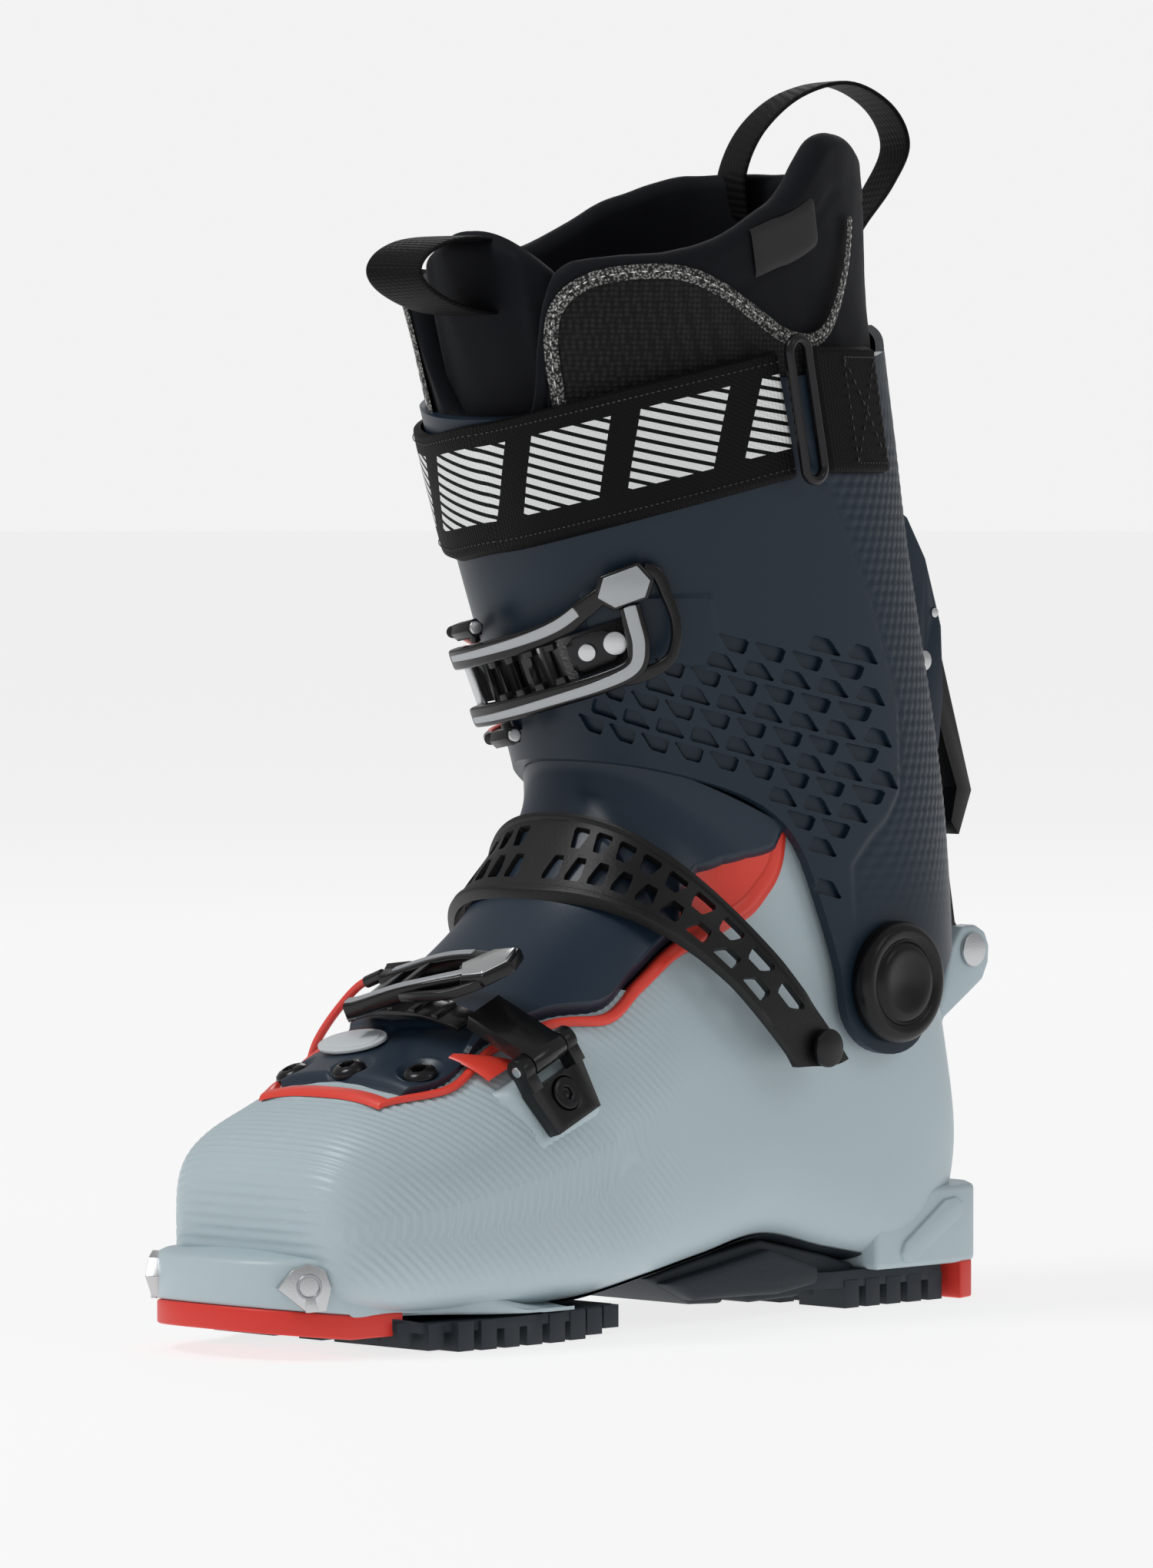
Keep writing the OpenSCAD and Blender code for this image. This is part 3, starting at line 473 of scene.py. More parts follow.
HEEL_PLAN = [(-38, 6), (-38.6, 40), (-36, 50.5), (-28, 57), (-16, 58.6), (16, 58.6), (28, 57), (36, 50.5),
             (38.6, 40), (38, 6)]
heel_ledge = plate("heel_ledge", HEEL_PLAN, 10.6, 33.5, Matrix(), 1.8)
SIZE_PANEL = [(15.5, 15), (17, 12.6), (21, 12.6), (41.5, 24.5), (42, 28.5), (39, 30.2), (34, 29.6), (17, 18.2)]
panels = []
for side in (-1, 1):
    low, high = sorted((side * 30, side * 39.5))
    panels.append(plate("size_panel", SIZE_PANEL, low, high, SIDE_VIEW, 0.6))

# the bracket at the back that the walk rod is pinned to: two cheeks joined by a back
BRACKET_SIDE = [(46, 40), (54, 33), (58.5, 60), (62, 80), (74, 87.5), (79.5, 91), (82, 96), (82.3, 101),
                (80.5, 105), (76, 107.4), (70, 107), (65.5, 101), (61.5, 88), (57, 78), (46, 70)]
BRACKET_BACK = [(46, 36), (55, 33), (58.5, 60), (61, 76), (57, 77), (50, 66), (46, 46)]
bracket = [plate("bracket_cheek", BRACKET_SIDE, low, low + 6, SIDE_VIEW, 1.2) for low in (-14, 8)]
bracket.append(plate("bracket_back", BRACKET_BACK, -14, 14, SIDE_VIEW, 1.0))

# the raised pad that the catch of the instep buckle stands on, wider at its foot than on top
PAD = [(-13, -1), (13, -1), (13, 17), (-13, 17)]
pad_turn = CATCH_PLATE @ SIDE_VIEW
catch_pad = plate("catch_pad", PAD, -9, -0.35, pad_turn, 0)
for vertex in catch_pad.data.vertices:
    place = pad_turn.inverted() @ vertex.co / MM
    if place.z < -5:
        place = Vector((place.x * 1.45, 8 + (place.y - 8) * 1.45, place.z))
        vertex.co = pad_turn @ (place * MM)
rounded(catch_pad, 2.6, 5, 20)



def inner_wall_skin(u, v):
    """The inner face of the shell's wall, from edge to edge of the throat round underneath."""
    row = 2.4 + u * 13.4
    return foot(row, throat(row) + v * (360 - 2 * throat(row)), -WALL)


inner_wall = tidy(sheet("lower_shell_inside", 54, 48, inner_wall_skin), (0, -0.1, 0.06))
inner_wall.data.flip_normals()
shell = join("lower_shell_body", shell, toe_ledge, heel_ledge, *panels, *bracket, catch_pad, inner_wall)
dress(smooth(shell, 50), SHELL_PLASTIC, "shell", "lower_shell")


# ---------------------------------------------------------------------------------------------
# Sole: a red toe bumper under the ledge, dark rubber treads glued to forefoot and heel, and a red
# heel block that the ski brake presses on.
RED_RUBBER = finish("red_rubber", (0.74, 0.040, 0.028), 0.42, mottle=0.04, grain=0.2, grain_scale=900, wear=0.1,
                    Specular_IOR_Level=0.4)
TREAD_RUBBER = finish("tread_rubber", (0.008, 0.015, 0.023), 0.6, mottle=0.12, grain=0.5, grain_scale=700,
                      wear=0.2)
bumper_turns = [math.radians(k * 7.5) for k in range(-12, 13)]
bumper_plan = [(LEDGE_HALF * squared(math.sin(turn), LEDGE_SQUARENESS),
                LEDGE_START - 30.4 * squared(math.cos(turn), LEDGE_SQUARENESS)) for turn in bumper_turns]
bumper_plan = [(-LEDGE_HALF - 0.6, -184)] + bumper_plan + [(LEDGE_HALF + 0.6, -184)]
toe_bumper = plate("toe_bumper_rubber", bumper_plan, 5.2, 11.9, Matrix(), 0.8)
for vertex in toe_bumper.data.vertices:
    vertex.co.z += 0.11 * max(0, -0.2027 - vertex.co.y)
dress(toe_bumper, RED_RUBBER, "shell", "toe_bumper")
BLOCK_PLAN = [(-37.4, 43), (-35.4, 50), (-27.6, 56.4), (-16, 58), (16, 58), (27.6, 56.4), (35.4, 50),
              (37.4, 43)]
dress(plate("heel_block_rubber", BLOCK_PLAN, 0, 11.2, Matrix(), 0.8), RED_RUBBER, "shell", "heel_block")
softened("forefoot_tread", TREAD_RUBBER, "shell", 0.4)
softened("heel_tread", TREAD_RUBBER, "shell", 0.4)

# the rubber carries on under the arch: a narrow shank, a wider flank, and a thin rim below the shell
SHANK = [(-82, 13.5), (-72, 9), (-63, 5), (-50, 4.4), (-47, 8.5), (-42, 8.5), (-39, 3.8), (-18, 4.2), (-12, 9),
         (6, 9), (6, 12), (-8, 16), (-34, 21.6), (-60, 17.8)]
FLANK = [(-78, 12), (-66, 6.5), (-52, 6.5), (-30, 6), (-14, 8), (-14, 13), (-34, 19), (-58, 15)]


def sole_rim_skin(u, v):
    """A band just below the shell's underside."""
    return foot(3.2 + 9.2 * u, 151 + 58 * v, 0.7)


arch = [tidy(sheet("sole_rim", 120, 24, sole_rim_skin), (0, -0.1, 0.06)),
        plate("sole_shank", SHANK, -29, 29, SIDE_VIEW, 1.2),
        plate("sole_flank", FLANK, -34, 34, SIDE_VIEW, 2.0)]
dress(join("sole_arch_rubber", *arch), TREAD_RUBBER, "shell")


# ---------------------------------------------------------------------------------------------
# Binding fittings: hardened steel, pressed into the toe and the heel before moulding. The toe
# fitting's end plates show at the ledge's sides, each with a socket and the ramp that leads to it.
STEEL = finish("brushed_steel", (0.60, 0.61, 0.62), 0.30, metallic=1.0, mottle=0.05, mottle_scale=200,
               grain=0.25, grain_scale=2200)
DARK_STEEL = finish("socket_steel", (0.42, 0.44, 0.46), 0.42, metallic=1.0, mottle=0.08, grain=0.3)
softened("heel_fitting", STEEL, "shell", 0.3)
SHIELD = [(-8.6, -0.4), (-4.6, 4.6), (0, 6.2), (4.6, 4.4), (6.2, -0.4), (4.8, -6.8), (-0.4, -7.2)]
RAMP = [(-1.0, -7.1), (2.6, -6.9), (1.5, -2.6), (-0.9, -2.6)]
DISH = [(3.5, 0.75), (3.3, 1.05), (2.9, 0.95), (2.5, 0.2), (1.9, -0.5), (0.9, -0.9), (0, -1.0)]


def dish_skin(socket_turn, u, v):
    """The round hollow that the binding's pin sits in."""
    radius, rise = row_at(DISH, v)
    turn = 2 * math.pi * u
    return socket_turn @ (Vector((rise, radius * math.cos(turn), radius * math.sin(turn))) * MM)


sockets = []
for side, label in ((-1, "inner"), (1, "outer")):
    facing = turned("Z", -33 * side) @ turned("Z", 0 if side > 0 else 180)
    socket_turn = moved(side * 30.6, -216.2, 20.5) @ facing
    face = socket_turn @ SIDE_VIEW @ Matrix.Diagonal((side, 1, 1, 1))
    shield = plate("socket_shield", SHIELD, -3.5, 0.5, face, 0.25)
    shield_ramp = plate("socket_ramp", RAMP, -1, 0.75, face, 0.2)
    dish = tidy(sheet("socket_dish", 48, 18, functools.partial(dish_skin, socket_turn)))
    sockets.append(join("socket_plate", shield, shield_ramp))
    dress(smooth(tidy(dish, (0, -0.217, 0.0205)), 60), DARK_STEEL, "shell").name = "socket_dish_" + label
dress(join("toe_fitting_plates", *sockets), STEEL, "shell", "toe_fitting")


# ---------------------------------------------------------------------------------------------
# Throat gasket: a soft red rim moulded over the edge of the shell's throat, with a wide web behind
# the instep strap that closes the gap below the cuff.
GASKET_RED = finish("gasket_red", (0.84, 0.060, 0.036), 0.36, mottle=0.03, grain=0.08, Subsurface_Weight=0.1,
                    Subsurface_Scale=0.003)


def gasket_skin(u, v):
    """The rim: u goes round the throat from edge to edge, v across the rim's rounded section."""
    turn = 2 * u - 1
    start = THROAT_START - 0.03 + 0.36 * v
    if abs(turn) < 0.12:
        row, share = start, turn / 0.12
    else:
        row, share = start + (abs(turn) - 0.12) / 0.88 * (15.8 - start), math.copysign(1, turn)
    a = share * (throat(max(row, THROAT_START)) + 0.8 - 5.4 * v)
    return foot(row, a, 2.1 - 3.2 * (2 * v - 0.85) ** 4 - 0.7 * v)


gasket = tidy(sheet("throat_gasket_rim", 300, 12, gasket_skin), (0, -0.1, 0.05))
FLAP_ANGLES = [(10.5, 55.5), (11.5, 48), (12.5, 48.5), (13.5, 54), (14.3, 60.5), (14.8, 66), (15.2, 70),
               (16, 74)]


def flap_half(row):
    """Half the angle that the overlap covers at a section of the foot."""
    for (r0, a0), (r1, a1) in zip(FLAP_ANGLES, FLAP_ANGLES[1:]):
        if r0 < row <= r1:
            return a0 + (a1 - a0) * (row - r0) / (r1 - r0)
    return throat(row) - 5.0 if row < 11 else FLAP_ANGLES[-1][1]


def web_skin(u, v):
    """The web fills the triangle between the overlap, the instep strap and the cuff."""
    row = 10.8 + 5.0 * u
    start = flap_half(row) - 5
    a = start + (throat(row) + 1.5 - start) * v
    return foot(row, a, 1.3 - 1.4 * abs(2 * v - 1) ** 8)


def notch_skin(side, u, v):
    """The short red tab beside the front plate's outer screws."""
    return foot(5.28 + 0.1 * u + (0.12 + 0.5 * u) * v, side * (25 + 20 * u), 2.9 - 0.5 * abs(2 * v - 1) ** 6)


webs = [tidy(sheet("gasket_web", 60, 24, web_skin), (0, -0.05, 0.1))]
webs.append(webs[0].copy())
webs[1].data = webs[0].data.copy()
bpy.context.collection.objects.link(webs[1])
for vertex in webs[1].data.vertices:
    vertex.co.x = -vertex.co.x
tidy(webs[1], (0, -0.05, 0.1))
notches = []
for side in (-1, 1):
    notches.append(tidy(sheet("gasket_notch", 16, 10, functools.partial(notch_skin, side)), (0, -0.1, 0.05)))
dress(smooth(join("throat_gasket_piece", gasket, *webs, *notches), 60), GASKET_RED, "shell", "throat_gasket")


# ---------------------------------------------------------------------------------------------
# Instep overlap: a navy flap moulded in a softer plastic, screwed to the toe end of the throat by
# three button screws in dished seats; the front plate is a step lower than the flap behind it.
NAVY_PLASTIC = finish("navy_pebax", (0.013, 0.026, 0.046), 0.34, mottle=0.06, grain=0.12, wear=0.12,
                      Specular_IOR_Level=0.38)
SCREW_PLACES = [(-26, 4.75), (-1, 4.62), (22, 4.85)]
FLAP_START = THROAT_START + 0.42
FLAP_FINISH = 15.98


def instep_frame(x, row, off):
    """A frame that stands on the instep at x and at a section of the foot."""
    half_width, n_top = section(row)[5], section(row)[6]
    a = math.degrees(math.asin(squared(x / (half_width + off), 4 / n_top)))
    return Matrix.Translation(foot(row, a, off)) @ turned("X", 24) @ turned("Y", a * 0.35), a


def overlap_height(row, a):
    """The overlap's height above the foot's surface."""
    height = 2.5
    # step up from the front plate to the flap, with an angular outline
    step_row = 5.62 + 0.012 * abs(a + 4) - 0.5 * ramp(abs(a + 4), 26, 31)
    height += 1.5 * ramp(row, step_row, step_row + 0.09)
    # a crease that runs from the middle of the flap down to the outer side
    crease = row - (11.7 - 0.035 * abs(a - 2))
    height += 0.7 * ramp(crease, -0.05, 0.1) * (1 - ramp(crease, 0.5, 1.6)) * ramp(a, -2, 10)
    return height


def overlap_skin(u, v):
    """The flap from the toe end up, its edges turned down, a dish round each screw."""
    lip = ramp(v, 0, 0.02) * ramp(1 - v, 0, 0.02) * ramp(u, 0, 0.012)
    row = FLAP_START + u * (FLAP_FINISH - FLAP_START)
    a = (2 * v - 1) * flap_half(row)
    height = overlap_height(row, a)
    spot = foot(row, a, height)
    for seat in screw_seats:
        away = (spot / MM - seat).length
        height -= 1.5 * (1 - ramp(away, 4.6, 7.2))
    return foot(row, a, -0.6 + (height + 0.6) * lip)


screw_seats = [instep_frame(x, row, 2.4)[0].translation / MM for x, row in SCREW_PLACES]
overlap = tidy(sheet("instep_overlap_flap", 400, 150, overlap_skin), (0, -0.08, 0.04))
dress(smooth(overlap, 60), NAVY_PLASTIC, "shell", "instep_overlap")

BLACK_STEEL = finish("black_steel", (0.016, 0.016, 0.018), 0.22, metallic=0.6, mottle=0.1, grain=0.1,
                     wear=0.25)
HEAD = [(4.9, 1.1), (4.9, 1.7), (4.5, 2.5), (3.5, 3.2), (2.5, 3.5), (2.2, 3.4), (2.0, 2.4), (1.8, 1.6),
        (0.9, 1.6), (0, 1.6), (0, 1.6)]


def head_skin(seat, u, v):
    """A button head with a six-lobed drive socket."""
    radius, height = HEAD[min(round(v * 10), 10)]
    turn = 2 * math.pi * u
    radius *= 1 - 0.09 * math.cos(6 * turn) * (v > 0.45)
    return seat @ (Vector((radius * math.cos(turn), radius * math.sin(turn), height)) * MM)


heads = []
for x, row in SCREW_PLACES:
    seat, turn = instep_frame(x, row, 0)
    heads.append(tidy(sheet("button_head", 48, 10, functools.partial(head_skin, seat)), foot(row, turn, -10)))
dress(smooth(join("overlap_button_screws", *heads), 40), BLACK_STEEL, "shell", "overlap_screws")

# a plain oval badge with a raised field is pressed into the front plate
BADGE = finish("badge_silver", (0.62, 0.66, 0.68), 0.35, mottle=0.03, grain=0.1)
badge_frame = instep_frame(-12, 5.25, 2.4)[0]


def oval(long_half, short_half):
    """The outline of an oval."""
    turns = [k * math.pi / 20 for k in range(40)]
    return [(long_half * math.cos(turn), short_half * math.sin(turn)) for turn in turns]


badge = join("overlap_badge_piece", plate("badge", oval(12.5, 7), 0.4, 1.5, badge_frame, 0.3),
             plate("badge_field", oval(10.4, 5), 1.2, 1.9, badge_frame, 0.35))
dress(badge, BADGE, "shell", "overlap_badge")


# ---------------------------------------------------------------------------------------------
# Instep strap: black elastic plastic with two rows of slots that let it stretch, held to the
# shell on each side by a rivet and free to bend over the instep with the ankle.
STRAP_BLACK = finish("strap_black", (0.0045, 0.0045, 0.005), 0.42, mottle=0.1, grain=0.35, grain_scale=900,
                     wear=0.15, Specular_IOR_Level=0.32)
STRAP_END = 90.02
SLOT_PITCH = 8.6
SLOT_SPREAD = 30


def strap_place(a, share, lift):
    """A place on the strap: share runs across it from its toe edge, lift is above its underside."""
    bend = abs(a) / 96
    low_row = 8.9 + 2.2 * bend ** 1.6
    high_row = 11.6 + 0.7 * bend ** 2
    rise = 2.9 + 7.6 * min(1, abs(a) / 74) ** 1.5
    return foot(low_row + share * (high_row - low_row), a, rise + lift)


def strap_skin(u, v):
    """Across the top from edge to edge with a raised rim, then back along the underside."""
    a = -STRAP_END + 2 * STRAP_END * min(max((u - 0.004) / 0.992, 0), 1)
    if u < 0.002 or u > 0.998:
        return strap_place(a, 0.5, 1.2)
    if v < 0.8:
        share = v / 0.8
        edge = ramp(share, 0, 0.02) * ramp(1 - share, 0, 0.02)
        rim = 0.9 * (1 - ramp(min(share, 1 - share), 0.08, 0.11)) * (1 - ramp(abs(a), 80, 84))
        return strap_place(a, share, 0.5 + (2.0 + rim) * edge)
    return strap_place(a, 1 - (v - 0.8) / 0.2, 0.5 if v > 0.999 else 0)


def slot_form(middle, side, x, y, z):
    """From a slot's flat outline, y being its share of the strap's width times SLOT_SPREAD."""
    return strap_place(side * (middle + x), y / SLOT_SPREAD, z)


def cut_out(piece, cutter, operation="DIFFERENCE"):
    """Cuts piece with another closed piece, which is then removed."""
    modify(piece, "BOOLEAN", operation=operation, object=cutter, solver="MANIFOLD")
    bpy.data.objects.remove(cutter)


strap = tidy(sheet("instep_strap_band", 300, 80, strap_skin))
slots = []
for k in range(1, 10):
    for side in (-1, 1):
        for low, high, near, far, shift in ((0.18, 0.45, 3.0, 2.1, 0.0), (0.55, 0.82, 2.1, 3.0, 4.1)):
            middle = k * SLOT_PITCH + shift - 1.5
            if middle >= 82:
                continue
            slot = [(-near + 0.5, low), (near - 0.5, low), (near, low + 0.05), (far, high - 0.05),
                    (far - 0.5, high), (-far + 0.5, high), (-far, high - 0.05), (-near, low + 0.05)]
            flat = [(x, share * SLOT_SPREAD) for x, share in slot]
            slots.append(tidy(bent_plate("slot", flat, -2, 6, functools.partial(slot_form, middle, side), 0)))
cut_out(strap, join("slots", *slots))
dress(smooth(strap, 40), STRAP_BLACK, "shell", "instep_strap")
BLACK_PLASTIC = finish("black_nylon", (0.0035, 0.0035, 0.004), 0.3, mottle=0.1, grain=0.12, wear=0.2,
                       Specular_IOR_Level=0.32)
softened("strap_rivets", BLACK_PLASTIC, "shell", 0.5)


# ---------------------------------------------------------------------------------------------
# Catch of the instep buckle, hinge screws and the pin of the rear bracket: black cast parts and
# steel pins, screwed or riveted to the shell. The catch's foot is drawn up to the height of its pad.
CATCH_HEIGHTS = [(-6, 1.0), (3, 4.5), (13, 14.5), (15, 15)]
catch_pieces = [softened("catch_base", BLACK_PLASTIC, "shell", 0.5),
                softened("catch_screw", BLACK_STEEL, "shell", 0.4)]
for piece in catch_pieces:
    for vertex in piece.data.vertices:
        place = CATCH_PLATE.inverted() @ vertex.co / MM
        if place.z < 15:
            place.z = along(CATCH_HEIGHTS, place.z)
            place.y *= 1 - 0.2 * (15 - place.z) / 15
            vertex.co = CATCH_PLATE @ (place * MM)
softened("catch_pins", STEEL, "shell", 0.2)
softened("hinge_screws", STEEL, "shell", 0.2)
softened("bracket_pin", STEEL, "shell", 0.4)
softened("inner_hook", BLACK_PLASTIC, "shell", 0.5)


# ---------------------------------------------------------------------------------------------
# Cuff: injection-moulded in navy, hinged to the shell at both ankles. Its sides carry a field of
# shallow pockets that save weight, and behind a moulded parting line a fine honeycomb.
# Each level gives z, y of its centre, half width, depth to the front and to the rear, squareness of each.
LEG = [
    (60, 0, 49.5, 58, 53, 2.4, 2.4), (95, -1, 49.5, 62, 54, 2.4, 2.4), (130, -4, 50, 72, 56, 2.4, 2.4),
    (160, -11, 51, 76, 58, 2.3, 2.4), (190, -20, 52, 78, 60, 2.3, 2.4), (220, -29, 53, 79, 62, 2.4, 2.4),
    (250, -38, 54, 80, 66, 2.4, 2.4), (290, -48, 55, 82, 69, 2.4, 2.4), (350, -60, 56, 84, 73, 2.4, 2.4),
]
CUFF_EDGE = [(-112, 163), (-92, 161), (-72, 156), (-50, 147), (-37, 135), (-28, 117), (-21, 99), (-18, 85),
             (-11, 77), (0, 74.2), (11, 77.5), (20, 88), (32, 100), (46, 105), (60, 106)]
CUFF_TOP = [(90, 110), (90, 286), (16, 284), (2, 276), (-40, 269), (-80, 266), (-108, 260), (-126, 254),
            (-150, 253)]
CUFF_WALL = 3.0
ARC = 0.95
POCKET_W, POCKET_H, POCKET_SLOPE = 8.8, 6.0, 0.30
COMB_PITCH = 3.6


@functools.lru_cache(maxsize=None)
def level(z):
    """A level of the leg: y of its centre, half width, depths to front and rear, squareness."""
    low, high = 0.0, 1.0
    for _ in range(22):
        middle = (low + high) / 2
        if row_at(LEG, middle)[0] < z:
            low = middle
        else:
            high = middle
    return row_at(LEG, low)[1:]


def leg(z, a, off=0.0):
    """A point of the leg's surface at height z moved out by off; a is 0 in front, 90 on the outer side."""
    y, half_width, front, rear, n_front, n_rear = level(round(z, 3))
    cosine, sine = math.cos(math.radians(a)), math.sin(math.radians(a))
    n, depth = (n_front, front) if cosine > 0 else (n_rear, rear)
    return Vector(((half_width + off) * squared(sine, n), y - (depth + off) * squared(cosine, n), z)) * MM


PARTING = [(60, 78), (129, 82), (150, 97), (175, 102), (205, 98), (237, 90), (262, 84), (300, 80)]


def comb(x, y, pitch):
    """Rounded cells of a honeycomb, 1 in the middle of a cell and 0 at its edge."""
    tall = pitch * math.sqrt(3)
    first = math.hypot((x + pitch / 2) % pitch - pitch / 2, (y + tall / 2) % tall - tall / 2)
    second = math.hypot(x % pitch - pitch / 2, y % tall - tall / 2)
    return 1 - min((min(first, second) / (0.56 * pitch)) ** 2, 1)


def cuff_relief(z, a):
    """The step at the parting line, the honeycomb behind it and the pad that carries the ladder."""
    turn = abs((a + 180) % 360 - 180)
    behind = (turn - along(PARTING, z)) * ARC
    height = -0.75 * ramp(behind, -0.4, 0.5) * ramp(z, 100, 135)
    if 0 < behind < 75 and z > 100:
        fade = ramp(behind, 0.5, 3) * (1 - ramp(behind, 30, 60)) * ramp(z, 105, 150)
        height += 0.42 * comb(turn * ARC, z, COMB_PITCH) * fade
    if 20 < a < 62:
        pad = min((57 - a) * ARC, z - 186.5, 207 - z)
        height += 0.8 * ramp(pad, 0, 0.8)
    return height


def cuff_skin(u, v):
    """Up the outside with close rows between the hinge and the strap, then back down the inside."""
    k = u * 226
    if k < 18:
        z, inside = 64 + 46 * k / 18, 0
    elif k < 183:
        z, inside = 110 + 140 * (k - 18) / 165, 0
    elif k < 204:
        z, inside = 250 + 42 * (k - 183) / 21, 0
    else:
        z, inside = 292 - 228 * (k - 204) / 21, 1
    if k > 225.5:
        z, inside = 64, 0
    t = 2 * v - 1
    side = abs(t)
    a = 12 * side / 0.04 if side < 0.04 else (
        12 + (side - 0.04) / 0.78 * 116 if side < 0.82 else 128 + (side - 0.82) / 0.18 * 52)
    a = math.copysign(a, t)
    return leg(z, a, -CUFF_WALL if inside else cuff_relief(z, a))


cuff = tidy(sheet("cuff_body", 226, 400, cuff_skin))
cuff_outline = [tuple(row_at(CUFF_EDGE, k / 56)) for k in range(57)] + CUFF_TOP
cut_out(cuff, plate("cuff_cutter", cuff_outline, -90, 90, SIDE_VIEW, 0), "INTERSECT")
cut_out(cuff, drum("pivot_hole", 9.1, -80, 80, moved(0, 0, 95) @ turned("Y", 90), 48, 0))


def pocket_form(s, z, side, x, y, off):
    """From a pocket's flat outline to the cuff's side, narrower towards its bottom."""
    across = side * (s + x * (0.86 + 0.04 * off)) / ARC
    return leg(z + y - POCKET_SLOPE * x, across, off - 2.1)


pockets = []
for band in range(17, 42):
    for cell in range(0, 13):
        s_mid = (cell + 0.5 - (0.5 if band % 2 else 0)) * POCKET_W
        z_mid = (band + 0.5) * POCKET_H - POCKET_SLOPE * (s_mid - 10)
        a_mid = s_mid / ARC
        inside_field = 12 < a_mid < along(PARTING, z_mid) - 5 and z_mid < 180 + 13 * ramp(a_mid, 15, 60)
        if not inside_field or z_mid < along(CUFF_EDGE, leg(z_mid, a_mid).y / MM) + 6.5:
            continue
        near, far = (3.9, 2.3) if band % 2 else (2.3, 3.9)
        trapezoid = [(-near + 0.7, -2.35), (near - 0.7, -2.35), (near, -1.7), (far, 1.7), (far - 0.7, 2.35),
                     (-far + 0.7, 2.35), (-far, 1.7), (-near, -1.7)]
        for side in (-1, 1):
            form = functools.partial(pocket_form, s_mid, z_mid, side)
            pockets.append(tidy(bent_plate("pocket", trapezoid, 0.4, 7, form, 0)))
cut_out(cuff, join("pockets", *pockets))
CUFF_PLASTIC = finish("cuff_polyamide", (0.011, 0.022, 0.037), 0.37, mottle=0.05, grain=0.14, wear=0.12,
                      Specular_IOR_Level=0.26)
dress(smooth(cuff, 32), CUFF_PLASTIC, "cuff", "cuff")


# ---------------------------------------------------------------------------------------------
# Cuff hinge: a bush and a round cap on each side; the cap is a black disc with a raised rim and a
# dished middle that hides the screw.
softened("hinge_bushes", BLACK_PLASTIC, "cuff", 0.3)
CAP_PROFILE = [(17.4, 49.5), (17.6, 51.6), (17.2, 53.2), (16.2, 54.4), (14.8, 54.9), (13.0, 54.6),
               (12.1, 53.9), (11.6, 54.1), (10.6, 55.0), (8.6, 55.3), (5.5, 54.7), (2.5, 54.2), (0, 54.0)]


def cap_skin(side, u, v):
    """A turned cap: radius and distance from the boot's middle plane are read from CAP_PROFILE."""
    radius, height = row_at(CAP_PROFILE, v)
    turn = 2 * math.pi * u
    return Vector((side * height, radius * math.cos(turn), 95 + radius * math.sin(turn))) * MM


caps = [tidy(sheet("hinge_cap", 72, 36, functools.partial(cap_skin, side)), (0, 0, 0.095))
        for side in (-1, 1)]
dress(smooth(join("hinge_cap_pair", *caps), 40), BLACK_PLASTIC, "cuff", "hinge_caps")


# ---------------------------------------------------------------------------------------------
# Walk mechanism at the rear: a navy housing on the cuff's spine, a black lever that hinges on a
# steel pin in it, and the rod that locks the cuff to the shell's bracket.
# A rib on the cuff's back carries the housing.
softened("spine_housing", CUFF_PLASTIC, "cuff", 1.0)
SPINE = [(30, 228), (38.6, 228), (45, 214), (50, 196), (53, 176), (55.2, 161), (52, 156), (44, 150), (40, 176),
         (34, 200)]
dress(plate("cuff_spine_rib", SPINE, -12, 12, SIDE_VIEW, 1.5), CUFF_PLASTIC, "cuff")
softened("housing_rivet", STEEL, "cuff", 0.3)
softened("walk_lever", BLACK_PLASTIC, "walk_lever", 0.8)
softened("walk_lever_pin", STEEL, "walk_lever", 0.2)
softened("walk_rod", BLACK_STEEL, "walk_rod", 0.6)


# ---------------------------------------------------------------------------------------------
# Inner boot: heat-moulded foam covered with smooth neoprene, a rolled collar that rises at the
# back, and a padded tongue in front. It stands in the shell and leans with the cuff.
NEOPRENE = finish("neoprene", (0.0035, 0.004, 0.0065), 0.72, mottle=0.2, mottle_scale=60, grain=0.5,
                  grain_scale=2600, Sheen_Weight=0.06, Sheen_Roughness=0.4, Specular_IOR_Level=0.15)
# the collar's edge as (angle, height), on the outer and on the inner side
COLLAR_OUTER = [(0, 256), (14, 256), (19, 268), (25, 292), (32, 299), (45, 301), (62, 302), (75, 305),
                (85, 311), (96, 322), (105, 333), (112, 337.5), (124, 337), (150, 330), (180, 327)]
COLLAR_INNER = [(0, 256), (14, 256), (19, 268), (25, 288), (32, 294), (62, 299), (85, 304), (100, 312),
                (115, 320), (140, 327), (160, 328), (180, 327)]
COLLAR_FOOT = 172
COLLAR_THICK = 8.5
COLLAR_SWELL = 1.6
LINER_OFF = -4.2


def collar_top(a):
    """The height of the collar's edge, evened out over a few degrees."""
    turn = (a + 180) % 360 - 180
    table = COLLAR_OUTER if turn >= 0 else COLLAR_INNER
    nearby = [along(table, min(abs(abs(turn) + d), 180)) for d in (-4, -2, 0, 2, 4)]
    return sum(nearby) / 5


